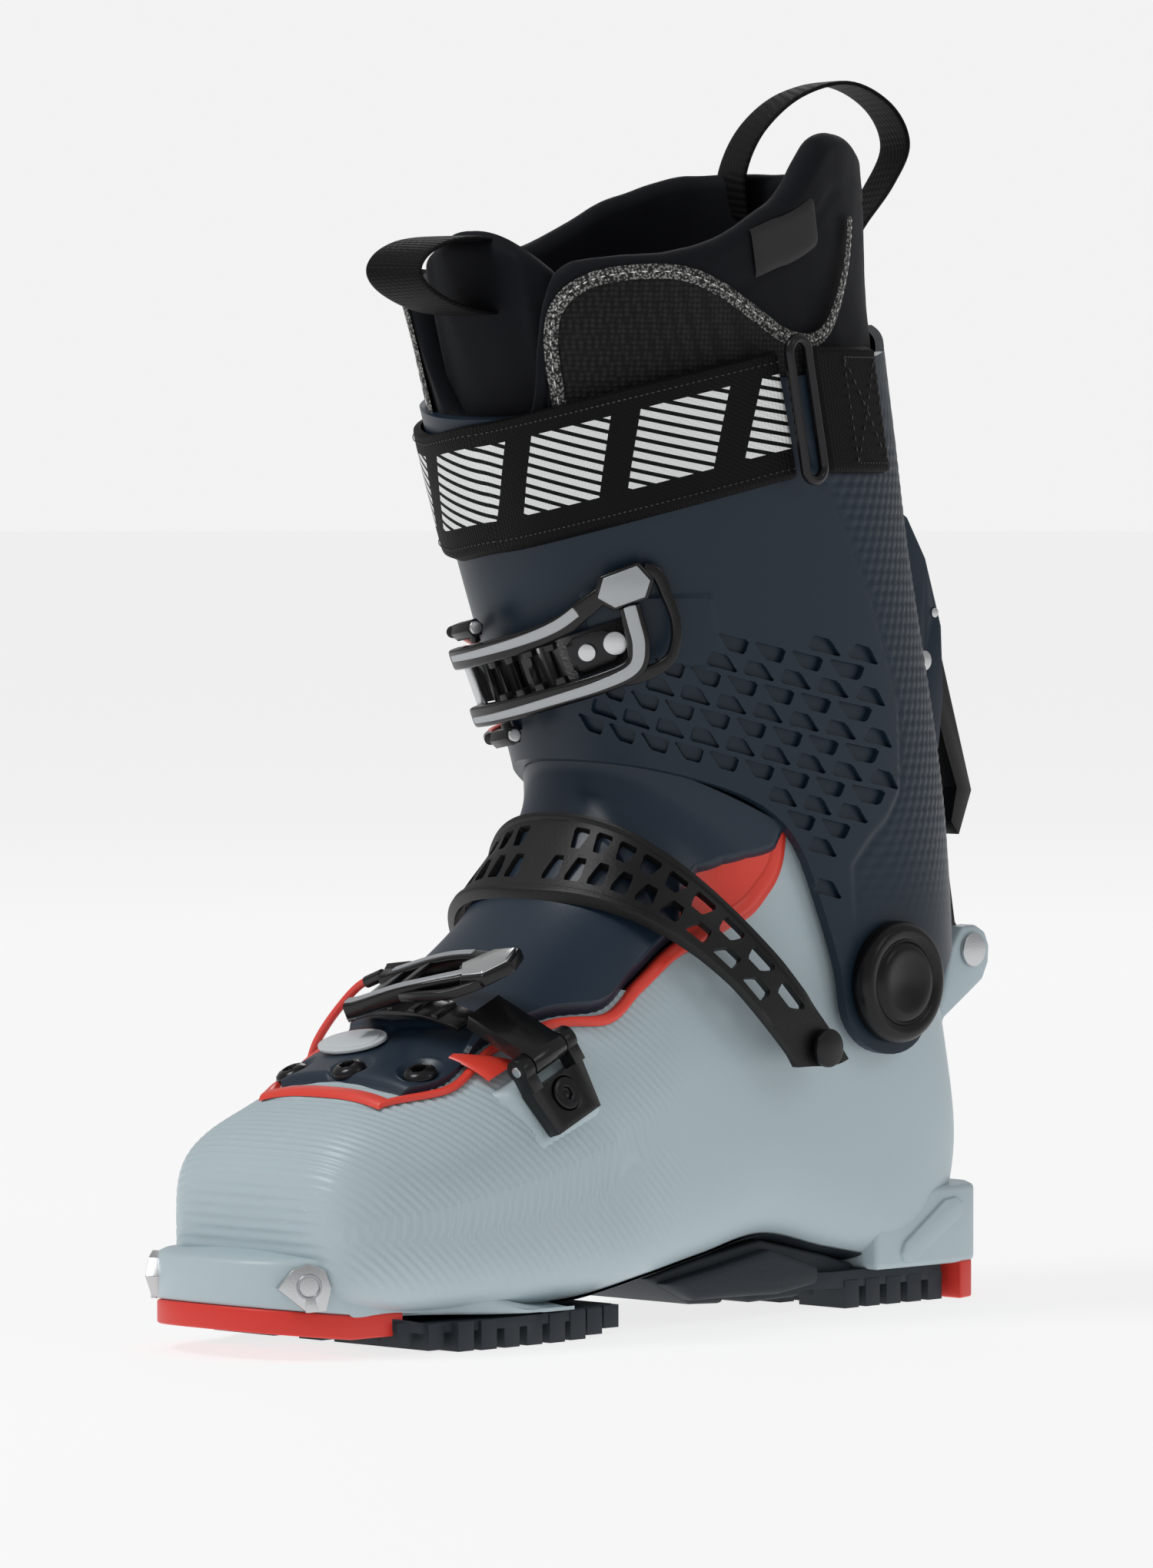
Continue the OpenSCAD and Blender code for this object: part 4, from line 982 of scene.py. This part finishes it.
def collar_skin(u, v):
    """Up the outside, over the rolled edge and down the inside."""
    a = 360 * v
    top = collar_top(a)
    radius = COLLAR_THICK / 2
    if u < 0.55:
        z = COLLAR_FOOT + (top - radius - COLLAR_FOOT) * (u / 0.55)
        seam_line = 0.5 * math.exp(-((z - top + 15) / 1.3) ** 2)
        off = LINER_OFF + COLLAR_SWELL * ramp(z, top - 40, top - 8) - seam_line
    elif u < 0.75:
        turn = (u - 0.55) / 0.2 * math.pi
        z = top - radius + radius * 1.15 * math.sin(turn)
        off = LINER_OFF + COLLAR_SWELL - radius + radius * math.cos(turn)
    else:
        z = top - radius - (u - 0.75) / 0.25 * (top - radius - 176)
        off = LINER_OFF + COLLAR_SWELL - COLLAR_THICK
    return leg(z, a, off)


collar = tidy(sheet("inner_boot_collar", 150, 260, collar_skin))
emboss(collar, lambda p: 0.5 * noise.noise(p * 0.05) + 0.25 * noise.noise(p * 0.13))


def tongue_skin(u, v):
    """A flat cushion that lies inside the front of the collar, closed at its edges."""
    turn = 2 * math.pi * v
    across = math.cos(turn)
    a = 30 * math.copysign(abs(across) ** 0.8, across)
    thick = 5.0 * math.copysign(abs(math.sin(turn)) ** 0.6, math.sin(turn))
    top = 309 - 9 * (a / 30) ** 2
    z = 190 + (top - 190) * math.sin(u * math.pi / 2)
    round_off = math.sqrt(max(1 - ramp(z, top - 9, top) ** 2, 0))
    ridge = 0.9 * (math.exp(-((a - 19) / 2.5) ** 2) + math.exp(-((a + 19) / 2.5) ** 2))
    return leg(z, a * (0.8 + 0.2 * round_off), -12.5 + (thick + (ridge if thick > 0 else 0)) * round_off)


tongue = tidy(sheet("inner_boot_tongue", 90, 90, tongue_skin), (0, -0.12, 0.26))
smooth(collar, 60)
smooth(tongue, 60)
collar = join("inner_boot_leg_piece", collar, tongue)
dress(collar, NEOPRENE, "cuff", "inner_boot_leg")

# the foot of the inner boot is narrower at the toe and follows the shell to the outer side
foot_part = softened("inner_boot_foot", NEOPRENE, "shell", 0)
for vertex in foot_part.data.vertices:
    toe = 1 - ramp(vertex.co.y, -0.203, -0.145)
    vertex.co.x = vertex.co.x * (1 - 0.1 * toe) + TOE_SHIFT * MM * toe
    vertex.co.y += 0.006 * toe
FOOTBED = finish("footbed_cloth", (0.035, 0.05, 0.07), 0.8, grain=0.5, grain_scale=800)
recolour("footbed", FOOTBED)


def knit(name, dark, light, pitch, depth, thread=0.5):
    """A coarse open knit: round meshes in staggered rows, on object coordinates."""
    material = bpy.data.materials.new(name)
    material.use_nodes = True
    nodes, links = material.node_tree.nodes, material.node_tree.links
    shader = nodes["Principled BSDF"]
    shader.inputs["Roughness"].default_value = 0.75
    shader.inputs["Sheen Weight"].default_value = 0.08
    shader.inputs["Specular IOR Level"].default_value = 0.22
    place = nodes.new("ShaderNodeTexCoord")
    cells = nodes.new("ShaderNodeTexVoronoi")
    cells.inputs["Scale"].default_value = 1 / (pitch * MM)
    cells.inputs["Randomness"].default_value = thread
    links.new(place.outputs["Object"], cells.inputs["Vector"])
    shade = nodes.new("ShaderNodeValToRGB")
    shade.color_ramp.elements[0].position = 0.15
    shade.color_ramp.elements[0].color = [*light, 1]
    shade.color_ramp.elements[1].position = 0.6
    shade.color_ramp.elements[1].color = [*dark, 1]
    links.new(cells.outputs["Distance"], shade.inputs["Fac"])
    links.new(shade.outputs["Color"], shader.inputs["Base Color"])
    bump = nodes.new("ShaderNodeBump")
    bump.invert = True
    bump.inputs["Strength"].default_value = 1.0
    bump.inputs["Distance"].default_value = depth * MM
    links.new(cells.outputs["Distance"], bump.inputs["Height"])
    links.new(bump.outputs["Normal"], shader.inputs["Normal"])
    return material


# a coarse mesh panel on each side and the grey tape that binds its edge, with a pale stitch
MESH = knit("spacer_mesh", (0.002, 0.002, 0.002), (0.018, 0.018, 0.019), 1.5, 0.5, 0.25)
TAPE = knit("heather_tape", (0.012, 0.012, 0.012), (0.36, 0.36, 0.35), 0.75, 0.25, 1.0)
PANEL_FOOT = 236
PANEL_TOP = [(26, 279), (28, 286), (33, 292), (40, 295.5), (52, 297.5), (65, 297.5), (74, 293), (82, 286),
             (90, 280), (96, 281)]
TAPE_PATH = [(236, 25), (262, 25), (279, 26.5), (288.5, 31), (294.5, 40), (297, 52), (297, 65), (293, 74),
             (286, 82), (280, 88), (278.5, 93), (282, 99), (292, 106), (304, 112), (314, 115)]
LINER_FACE = LINER_OFF + 1.8


def panel_skin(side, u, v):
    """A panel from the strap up to PANEL_TOP."""
    a = 26 + 70 * u
    z = PANEL_FOOT + (along(PANEL_TOP, a) - PANEL_FOOT) * v
    return leg(z, side * a, LINER_FACE + 0.5)


def on_path(path, t, off, side=1):
    """A place along a path of (height, angle) pairs, off the form of the leg."""
    z, a = row_at(path, t)
    return leg(z, side * a, off)


def ribbon_on_liner(name, side, path, width, off, count):
    """A tape that lies flat on the leg's form along a path of (height, angle) pairs."""
    def skin(u, v):
        ahead = on_path(path, min(u + 0.01, 1), off, side) - on_path(path, max(u - 0.01, 0), off, side)
        outwards = on_path(path, u, off + 5, side) - on_path(path, u, off, side)
        across = ahead.cross(outwards).normalized() * (v - 0.5) * width * MM
        crown = outwards.normalized() * (0.5 - 2.2 * abs(v - 0.5) ** 2.2) * MM
        return on_path(path, u, off, side) + across + crown
    return tidy(sheet(name, count, 8, skin), (0, -0.05, 0.28))


STITCH_FACES = [(0, 1, 2), (0, 2, 3), (0, 3, 4), (0, 4, 1), (5, 2, 1), (5, 3, 2), (5, 4, 3), (5, 1, 4)]
THREAD = finish("pale_thread", (0.72, 0.72, 0.70), 0.6, grain=0.2)
BLACK_THREAD = finish("black_thread", (0.05, 0.05, 0.052), 0.55, grain=0.2)


def seam(name, spots, radius=0.28, filled=0.62):
    """A row of stitches: a small spindle between each two neighbours in a close line of places."""
    vertices, faces = [], []
    for start, end in zip(spots, spots[1:]):
        line = (end - start) * filled
        side = line.cross(Vector((0.31, 0.17, 0.93))).normalized() * radius * MM
        lift = line.cross(side).normalized() * radius * MM
        base = len(vertices)
        middle = start + line / 2
        vertices += [start, middle + side, middle + lift, middle - side, middle - lift, start + line]
        faces += [tuple(base + k for k in face) for face in STITCH_FACES]
    mesh = bpy.data.meshes.new(name)
    mesh.from_pydata(vertices, [], faces)
    piece = bpy.data.objects.new(name, mesh)
    bpy.context.collection.objects.link(piece)
    return tidy(piece)


for side, label in ((1, "outer"), (-1, "inner")):
    panel = tidy(sheet("mesh_panel_" + label, 60, 40, functools.partial(panel_skin, side)), (0, -0.05, 0.27))
    dress(smooth(panel), MESH, "cuff")
    tape = ribbon_on_liner("edge_tape_" + label, side, TAPE_PATH, 4.2, LINER_FACE + 0.7, 120)
    dress(smooth(tape), TAPE, "cuff")
    spots = [on_path(TAPE_PATH, k / 62, LINER_FACE + 1.35, side) for k in range(63)]
    dress(seam("tape_stitches_" + label, spots, 0.26), THREAD, "cuff")


def label_skin(u, v):
    """A blank label sewn to the rear outer side, its edges drawn in by the seam."""
    drawn_in = 0.7 * abs(2 * u - 1) ** 8 + 0.7 * abs(2 * v - 1) ** 8
    return leg(296 + 13.5 * v + 10 * u, 84 + 16 * u, LINER_FACE + 1.0 - drawn_in)


label_piece = tidy(sheet("liner_label_piece", 24, 16, label_skin), (0, -0.05, 0.3))
LABEL = finish("label_cloth", (0.005, 0.005, 0.006), 0.6, grain=0.5, grain_scale=1800)
dress(smooth(label_piece), LABEL, "cuff", "liner_label")


# ---------------------------------------------------------------------------------------------
# Webbing: the pull loops in front and behind and the power strap, woven from black polyester with
# fine cross ribs. The strap's print is a plain slanted hatch.
def webbing(name, ribs, colour=(0.0028, 0.0028, 0.003), printed=False):
    """Woven tape on its own UV map, u along it and v across it."""
    material = bpy.data.materials.new(name)
    material.use_nodes = True
    nodes, links = material.node_tree.nodes, material.node_tree.links
    shader = nodes["Principled BSDF"]
    shader.inputs["Roughness"].default_value = 0.6
    shader.inputs["Sheen Weight"].default_value = 0.0
    shader.inputs["Specular IOR Level"].default_value = 0.13
    place = nodes.new("ShaderNodeTexCoord")

    def count(rate_u, rate_v, phase=0.0):
        """rate_u * u + rate_v * v + phase, wrapped into 0 to 1."""
        dot = nodes.new("ShaderNodeVectorMath")
        dot.operation = "DOT_PRODUCT"
        dot.inputs[1].default_value = (rate_u, rate_v, 0)
        links.new(place.outputs["UV"], dot.inputs[0])
        wrapped = nodes.new("ShaderNodeMath")
        wrapped.operation = "WRAP"
        shifted = nodes.new("ShaderNodeMath")
        shifted.inputs[1].default_value = phase
        links.new(dot.outputs["Value"], shifted.inputs[0])
        links.new(shifted.outputs[0], wrapped.inputs[0])
        wrapped.inputs[1].default_value = 1
        wrapped.inputs[2].default_value = 0
        return wrapped.outputs[0]

    def math_node(operation, first, second):
        """One sum on two values, each a number or another node's output."""
        node = nodes.new("ShaderNodeMath")
        node.operation = operation
        for socket, value in zip(node.inputs, (first, second)):
            if isinstance(value, (int, float)):
                socket.default_value = value
            else:
                links.new(value, socket)
        return node.outputs[0]

    rib = math_node("PINGPONG", count(ribs, 0), 0.5)
    weft = math_node("PINGPONG", count(ribs / 2, 26), 0.5)
    weave = math_node("ADD", rib, math_node("MULTIPLY", weft, 0.6))
    bump = nodes.new("ShaderNodeBump")
    bump.inputs["Strength"].default_value = 0.9
    bump.inputs["Distance"].default_value = 0.35 * MM
    links.new(weave, bump.inputs["Height"])
    links.new(bump.outputs["Normal"], shader.inputs["Normal"])
    # the weave's relief also sets the colour: painted shade darkens the black in the grooves and a painted
    # highlight lightens it on the ribs
    tint = nodes.new("ShaderNodeMix")
    tint.data_type = "RGBA"
    tint.inputs["A"].default_value = [c * 0.45 for c in colour] + [1]
    tint.inputs["B"].default_value = [c * 1.5 for c in colour] + [1]
    links.new(weave, tint.inputs["Factor"])
    paint = tint.outputs["Result"]
    if printed:
        block = math_node("LESS_THAN", count(6.2, -0.42, 0.30), 0.74)
        hatch = math_node("LESS_THAN", count(31, 11.5), 0.62)
        height = count(0, 1)
        above, below = math_node("GREATER_THAN", height, 0.24), math_node("LESS_THAN", height, 0.82)
        band = math_node("MULTIPLY", above, below)
        ink = math_node("MULTIPLY", math_node("MULTIPLY", block, band), hatch)
        inked = nodes.new("ShaderNodeMix")
        inked.data_type = "RGBA"
        inked.inputs["B"].default_value = (0.82, 0.83, 0.83, 1)
        links.new(ink, inked.inputs["Factor"])
        links.new(paint, inked.inputs["A"])
        paint = inked.outputs["Result"]
    links.new(paint, shader.inputs["Base Color"])
    return material


LOOP_WEB = webbing("loop_webbing", 60)
FRONT_LOOP = [(-1, -104, 290), (-1, -113, 287.5), (-1, -124, 286), (-1, -137, 288), (-1, -148, 292.5),
              (-1, -152, 297.5), (-1, -148, 302.5), (-1, -138, 306), (-1, -124, 306.5), (-1, -110, 303),
              (-1, -102, 298)]
REAR_LOOP = [(-17, 4, 316), (-16, 2, 328), (-12, 6, 341), (-4, 14, 351), (4, 26, 354.5), (9, 38, 348),
             (11, 43, 337), (10, 37, 325), (8, 27, 313), (7.5, 19.5, 303), (7, 17.5, 290)]


def loop_skin(line, width, lean, u, v):
    """A flat webbing loop, round the section once in v: front face, then back face."""
    spot = Vector(row_at(line, u))
    ahead = Vector(row_at(line, min(u + 0.01, 1))) - Vector(row_at(line, max(u - 0.01, 0)))
    normal = ahead.cross(Vector((1, lean, 0))).normalized()
    across = normal.cross(ahead).normalized()
    turn = v * 2 * math.pi
    thick = 0.75 * math.copysign(abs(math.sin(turn)) ** 0.3, math.sin(turn))
    return (spot + across * width / 2 * math.cos(turn) + normal * thick) * MM


for name, line, width, lean in (("front_loop", FRONT_LOOP, 20, 0.1), ("rear_loop", REAR_LOOP, 17, -0.35)):
    loop = tidy(sheet(name + "_webbing", 90, 24, functools.partial(loop_skin, line, width, lean)))
    dress(smooth(loop, 60), LOOP_WEB, "cuff", name)

# the power strap goes round the front of the cuff from the inner side to its anchor on the outer side
STRAP_HEIGHT = 36
STRAP_START, STRAP_SPAN = -110, 194
POWER_WEB = webbing("power_strap_webbing", 230, printed=True)
ANCHOR_WEB = webbing("anchor_webbing", 28)


def power_place(u, v, off):
    """A place on the strap, u along it and v across it; its lower edge rises from front to back."""
    a = STRAP_START + STRAP_SPAN * u
    low = 216 + 24 * (abs(a + 20) / 105) ** 1.3
    return leg(low + STRAP_HEIGHT * v, a, off)


def power_skin(u, v):
    """Round the front of the cuff, tucked in at its top and bottom edges and at its ends."""
    edge = ramp(v, 0, 0.03) * ramp(1 - v, 0, 0.03) * ramp(u, 0, 0.004) * ramp(1 - u, 0, 0.004)
    wave = 0.35 * noise.noise(Vector(((STRAP_START + STRAP_SPAN * u) * 0.06, v * 2.0, 0)))
    return power_place(u, v, 1.0 + (2.4 + wave) * edge)


power_strap = tidy(sheet("power_strap_band", 260, 40, power_skin), (0, -0.04, 0.25))
dress(smooth(power_strap, 60), POWER_WEB, "cuff", "power_strap")
for offset, part in ((0.085, "low"), (0.915, "high")):
    spots = [power_place(k / 130, offset, 3.75) for k in range(131)]
    dress(seam("strap_stitches_" + part, spots, 0.22), BLACK_THREAD, "cuff")


def anchor_skin(u, v):
    """The patch that the strap's ring is sewn to, tucked in all round."""
    edge = ramp(v, 0, 0.03) * ramp(1 - v, 0, 0.03) * ramp(u, 0, 0.03) * ramp(1 - u, 0, 0.03)
    return leg(241 + 36 * v, 90 + 22 * u, 0.4 + 2.7 * edge)


anchor = tidy(sheet("strap_anchor_patch", 40, 40, anchor_skin), (0, -0.04, 0.25))
dress(smooth(anchor, 60), ANCHOR_WEB, "cuff", "strap_anchor")
corners = [(244, 98), (274, 98), (274, 110), (244, 110), (244, 98), (274, 110), (274, 98), (244, 110)]
box_seam = []
for (z0, a0), (z1, a1) in zip(corners, corners[1:]):
    box_seam += [leg(z0 + (z1 - z0) * k / 10, a0 + (a1 - a0) * k / 10, 3.35) for k in range(10)]
dress(seam("anchor_stitches", box_seam, 0.25), BLACK_THREAD, "cuff")

# the strap passes through a ring of black wire with two straight sides
RING_STRAIGHT = 0.0165
ring_turn = moved(60.2, -49, 259) @ turned("X", 12)
bpy.ops.object.select_all(action="DESELECT")
bpy.ops.mesh.primitive_torus_add(major_radius=0.0038, minor_radius=0.0015, major_segments=40, minor_segments=14)
ring = bpy.context.object
for vertex in ring.data.vertices:
    stretch = RING_STRAIGHT if vertex.co.y > 0 else -RING_STRAIGHT
    vertex.co = ring_turn @ Vector((vertex.co.z, vertex.co.x, vertex.co.y + stretch))
ring.name = "strap_ring_wire"
dress(smooth(tidy(ring), 60), BLACK_STEEL, "cuff", "strap_ring")


# ---------------------------------------------------------------------------------------------
# Upper buckle: a forged black lever with two arms, grey inlays and a six-sided thumb plate. It
# swings on a steel pin and clamps a toothed ladder that is screwed to the cuff.
LADDER = moved(0, -56, 198) @ turned("X", 106) @ turned("Z", 12)
LEVER_R = 50.8
INLAY_GREY = finish("inlay_grey", (0.40, 0.42, 0.44), 0.33, metallic=0.35, mottle=0.04, grain=0.12)
BRIGHT_PLATE = finish("bright_plate", (0.72, 0.73, 0.74), 0.16, metallic=1.0, mottle=0.05, mottle_scale=160,
                      grain=0.1)
LEVER_BLACK = finish("lever_black", (0.003, 0.003, 0.0034), 0.2, mottle=0.1, grain=0.12, wear=0.3,
                     Specular_IOR_Level=0.4)


def on_arc(x, y, rise):
    """From flat places, x along the arc in millimetres, to the bent form of the upper buckle."""
    angle = x / 53
    radius = LEVER_R + rise
    return LADDER @ (Vector((radius * math.sin(angle), y, radius * math.cos(angle))) * MM)


def bar(name, line, widths, low, high, form, count=60):
    """A bar with rounded edges along a line of flat (x, y) places, its width read from widths."""
    def skin(u, v):
        x, y = row_at(line, u)
        x1, y1 = row_at(line, max(u - 0.02, 0))
        x2, y2 = row_at(line, min(u + 0.02, 1))
        run = math.hypot(x2 - x1, y2 - y1)
        closed = math.sqrt(max(1 - ramp(abs(2 * u - 1), 0.96, 1) ** 2, 0))
        turn = 2 * math.pi * v
        side = row_at(widths, u)[0] * closed * squared(math.cos(turn), 5)
        rise = (low + high) / 2 + (high - low) / 2 * closed * squared(math.sin(turn), 5)
        return form(x - (y2 - y1) / run * side, y + (x2 - x1) / run * side, rise)
    return tidy(sheet(name, count, 28, skin))


LOWER_ARM = [(-25.5, -8.7), (-8, -8.7), (12, -8.8), (29, -9), (38.5, -7.8), (41.8, -2.5), (42.6, 4), (43, 9)]
UPPER_ARM = [(-25.5, 8.7), (-6, 8.7), (12, 8.8), (23, 9.8), (31, 12.4), (37, 14.4)]
HEXAGON = [(34.2, 14), (38, 19.6), (49.5, 19.8), (52, 13.6), (48.6, 9), (38.4, 9)]
LOOP = [(50, 17), (53.4, 14.5), (54, 8), (54, 1), (52, -5), (48, -9.4), (41, -10.6), (34, -9.6)]
lever = [bar("lower_arm", LOWER_ARM, [(3.1,), (3.1,), (3.0,), (3.2,), (3.0,)], -0.1, 4.4, on_arc, 80),
         bar("upper_arm", UPPER_ARM, [(3.1,), (3.1,), (3.0,), (2.6,)], -0.1, 4.4, on_arc),
         bar("finger_loop", LOOP, [(2.2,), (1.5,), (1.5,), (2.4,)], -0.1, 3.4, on_arc),
         bent_plate("thumb_plate", HEXAGON, 0.2, 4.4, on_arc, 0.8)]
for x in (-6, 1.2, 8.4, 15.6):
    for side in (-1, 1):
        tooth = [(x, side * 6), (x + 3.2, side * 6), (x + 2.8, side * 3.9), (x + 0.4, side * 3.9)]
        lever.append(bent_plate("arm_tooth", tooth, 0.4, 3.4, on_arc, 0.3))
dress(smooth(join("cuff_lever_fork", *lever), 45), LEVER_BLACK, "cuff_lever", "cuff_lever")


def shrunk(outline, share):
    """The outline drawn in towards its middle."""
    x0, y0 = sum(x for x, _ in outline) / len(outline), sum(y for _, y in outline) / len(outline)
    return [(x0 + (x - x0) * share, y0 + (y - y0) * share) for x, y in outline]


LOWER_INLAY = [(-23, -9.3), (-8, -9.4), (12, -9.4), (29, -9.4), (38.4, -7.9), (41.8, -2.5), (42.6, 4), (43, 9)]
UPPER_INLAY = [(-23, 9.3), (-6, 9.3), (12, 9.4), (22, 10.3), (29, 12.4)]
inlays = [bar("lower_inlay", LOWER_INLAY, [(0.9,), (1.2,), (1.5,), (1.7,), (1.7,)], 4.0, 4.75, on_arc, 80),
          bar("upper_inlay", UPPER_INLAY, [(0.9,), (1.2,), (1.5,), (1.5,)], 4.0, 4.75, on_arc),
          bent_plate("thumb_inlay", shrunk(HEXAGON, 0.84), 3.9, 4.8, on_arc, 0.3)]
dress(smooth(join("cuff_lever_inlays", *inlays), 45), INLAY_GREY, "cuff_lever", "cuff_lever_inlay")
softened("cuff_lever_pin", STEEL, "cuff_lever", 0.3)
softened("cuff_ladder", LEVER_BLACK, "cuff", 0.25)
softened("ladder_screws", STEEL, "cuff", 0.25)
RIVET_PLATE = [(19.8, -3.6), (23, -5.2), (33, -4.6), (36, -2.6), (36, 2.6), (33, 4.6), (23, 5.2), (19.8, 3.6)]
dress(bent_plate("ladder_rivet_plate", RIVET_PLATE, -3.0, -1.9, on_arc, 0.3), BLACK_STEEL, "cuff")
softened("cuff_hook", BLACK_PLASTIC, "cuff", 0.6)


def pipe(name, spots, radius, sides=14, steps_between=8):
    """A round cable or ferrule along places, smooth between them."""
    places = [tuple(spot) for spot in spots]

    def skin(u, v):
        here = Vector(row_at(places, u))
        before, after = Vector(row_at(places, max(u - 0.01, 0))), Vector(row_at(places, min(u + 0.01, 1)))
        ahead = (after - before).normalized()
        aside = ahead.orthogonal() if abs(ahead.z) > 0.9 else ahead.cross(Vector((0, 0, 1)))
        aside = aside.normalized()
        closed = 0 if u < 0.0001 or u > 0.9999 else 1
        turn = 2 * math.pi * v
        return here + (aside * math.cos(turn) + ahead.cross(aside) * math.sin(turn)) * radius * MM * closed
    return tidy(sheet(name, steps_between * (len(places) - 1) + 2, sides, skin))


def ferrule(name, spots):
    """The sleeve over the first part of a cable."""
    return pipe(name, [spots[0], spots[0].lerp(spots[1], 0.35), spots[0].lerp(spots[1], 0.7)], 1.75)


# each buckle's cables are steel rope in a red sheath, with a black ferrule at the adjuster's end
CABLE_RED = finish("cable_red", (0.80, 0.05, 0.035), 0.35, mottle=0.05, grain=0.3, grain_scale=900)
UPPER_CABLE = [(196, -21, 9.5), (195, -30, 5), (193, -42, 2.5), (191, -54, 2), (189, -63, 2.2)]
LOWER_CABLE = [(165.5, -14, 10), (166, -24, 6), (167, -36, 3), (168, -50, 2), (169, -63, 2.2)]
cables, ferrules = [], []
for route in (UPPER_CABLE, LOWER_CABLE):
    spots = [leg(*place) for place in route]
    cables.append(pipe("cuff_cable", spots, 1.2))
    ferrules.append(ferrule("cable_ferrule", spots))
dress(smooth(join("cuff_cable_pair", *cables), 60), CABLE_RED, "cuff", "cuff_cables")
dress(smooth(join("cuff_cable_ferrules", *ferrules), 40), LEVER_BLACK, "cuff")
softened("cuff_adjusters", LEVER_BLACK, "cuff_lever", 0.4)
ends = []
for side in (-1, 1):
    adjuster = LADDER @ turned("Y", -12) @ moved(-6, side * 16.2, LEVER_R + 1.5) @ turned("Y", 90)
    ends.append(drum("adjuster_end", 2.0, -0.9, 9.9, adjuster, 24, 0.4))
dress(join("cuff_adjuster_ends", *ends), STEEL, "cuff_lever")


# ---------------------------------------------------------------------------------------------
# Instep buckle: the same lever in a shorter form with a bright five-sided thumb plate, its ladder
# on a link that is pinned to the catch on the outer side, and one adjuster with a red cable.
LEVER_FRAME = CATCH @ moved(-10, -2.5, 8.8) @ turned("Z", 8) @ turned("Y", -4)


def on_lever(x, y, rise):
    """From flat places to the instep lever, which arches over the ladder."""
    arch = 3.0 * math.sin(math.pi * min(max(x, 0), 50) / 50) ** 1.2 + 2.2 * ramp(x, 34, 50)
    return LEVER_FRAME @ (Vector((x, y, rise + arch)) * MM)


INSTEP_ARM_FRONT = [(-2.5, -9), (6, -9), (15, -8.6), (25, -7.6), (33, -4.5), (39, -1)]
INSTEP_ARM_REAR = [(-2.5, 9), (8, 9), (20, 9.2), (31, 9.4), (39, 8)]
PENTAGON = [(31.5, 2), (37, -6.5), (46, -7), (50.5, 1.5), (48, 10.5), (38.5, 11.5)]
OUTER_LOOP = [(18, -9.6), (26, -11.8), (34, -11.4), (41, -8), (44, -5)]
FRONT_WIDTHS = [(2.9,), (2.7,), (2.3,), (2.3,), (3.0,)]
instep_lever = [bar("front_arm", INSTEP_ARM_FRONT, FRONT_WIDTHS, -1.7, 3.2, on_lever),
                bar("rear_arm", INSTEP_ARM_REAR, [(2.9,), (2.6,), (2.3,), (2.8,)], -1.7, 3.2, on_lever),
                bar("outer_loop", OUTER_LOOP, [(1.2,), (1.2,), (1.2,), (1.5,)], -1.0, 1.8, on_lever),
                bent_plate("pentagon_plate", PENTAGON, -0.6, 3.0, on_lever, 0.8),
                bent_plate("cross_bridge", [(3.5, -8), (8, -8), (8, 8), (3.5, 8)], 0.8, 2.6, on_lever, 0.5),
                bent_plate("second_bridge", [(15, -7), (18, -7), (18, 8), (15, 8)], 1.4, 2.8, on_lever, 0.4)]
dress(smooth(join("instep_lever_fork", *instep_lever), 45), LEVER_BLACK, "instep_lever", "instep_lever")
REAR_INLAY = [(2, 9.3), (12, 9.3), (22, 9.5), (32, 9.6)]
instep_inlays = [bar("front_inlay", INSTEP_ARM_FRONT, [(1.5,), (1.6,), (1.4,), (1.6,)], 2.9, 3.6, on_lever),
                 bar("rear_inlay", REAR_INLAY, [(1.2,), (1.2,), (1.2,)], 2.9, 3.6, on_lever)]
dress(smooth(join("instep_lever_inlays", *instep_inlays), 45), INLAY_GREY, "instep_lever", "instep_lever_inlay")
bright = bent_plate("instep_thumb_plate", shrunk(PENTAGON, 0.86), 2.8, 3.7, on_lever, 0.35)
dress(bright, BRIGHT_PLATE, "instep_lever")
softened("instep_lever_pin", STEEL, "instep_lever", 0.3)
softened("instep_adjuster", LEVER_BLACK, "instep_lever", 0.4)
adjuster = LEVER_FRAME @ moved(-4.4, 14.6, 0.6) @ turned("Y", 90)
dress(drum("instep_adjuster_end", 1.9, -1.0, 9.2, adjuster, 24, 0.4), STEEL, "instep_lever")
softened("instep_link", LEVER_BLACK, "instep_link", 0.6)
softened("instep_ladder", LEVER_BLACK, "instep_link", 0.25)
INSTEP_CABLE = [(-17.7, 9.8, 9), (-28, 9, 5.5), (-38, 6, -2), (-46, 3, -10), (-50, 1, -16.6)]
spots = [CATCH @ (Vector(place) * MM) for place in INSTEP_CABLE]
dress(smooth(pipe("instep_cable_red", spots, 1.2), 60), CABLE_RED, "shell", "instep_cable")
dress(smooth(ferrule("instep_cable_ferrule", spots), 40), LEVER_BLACK, "shell")
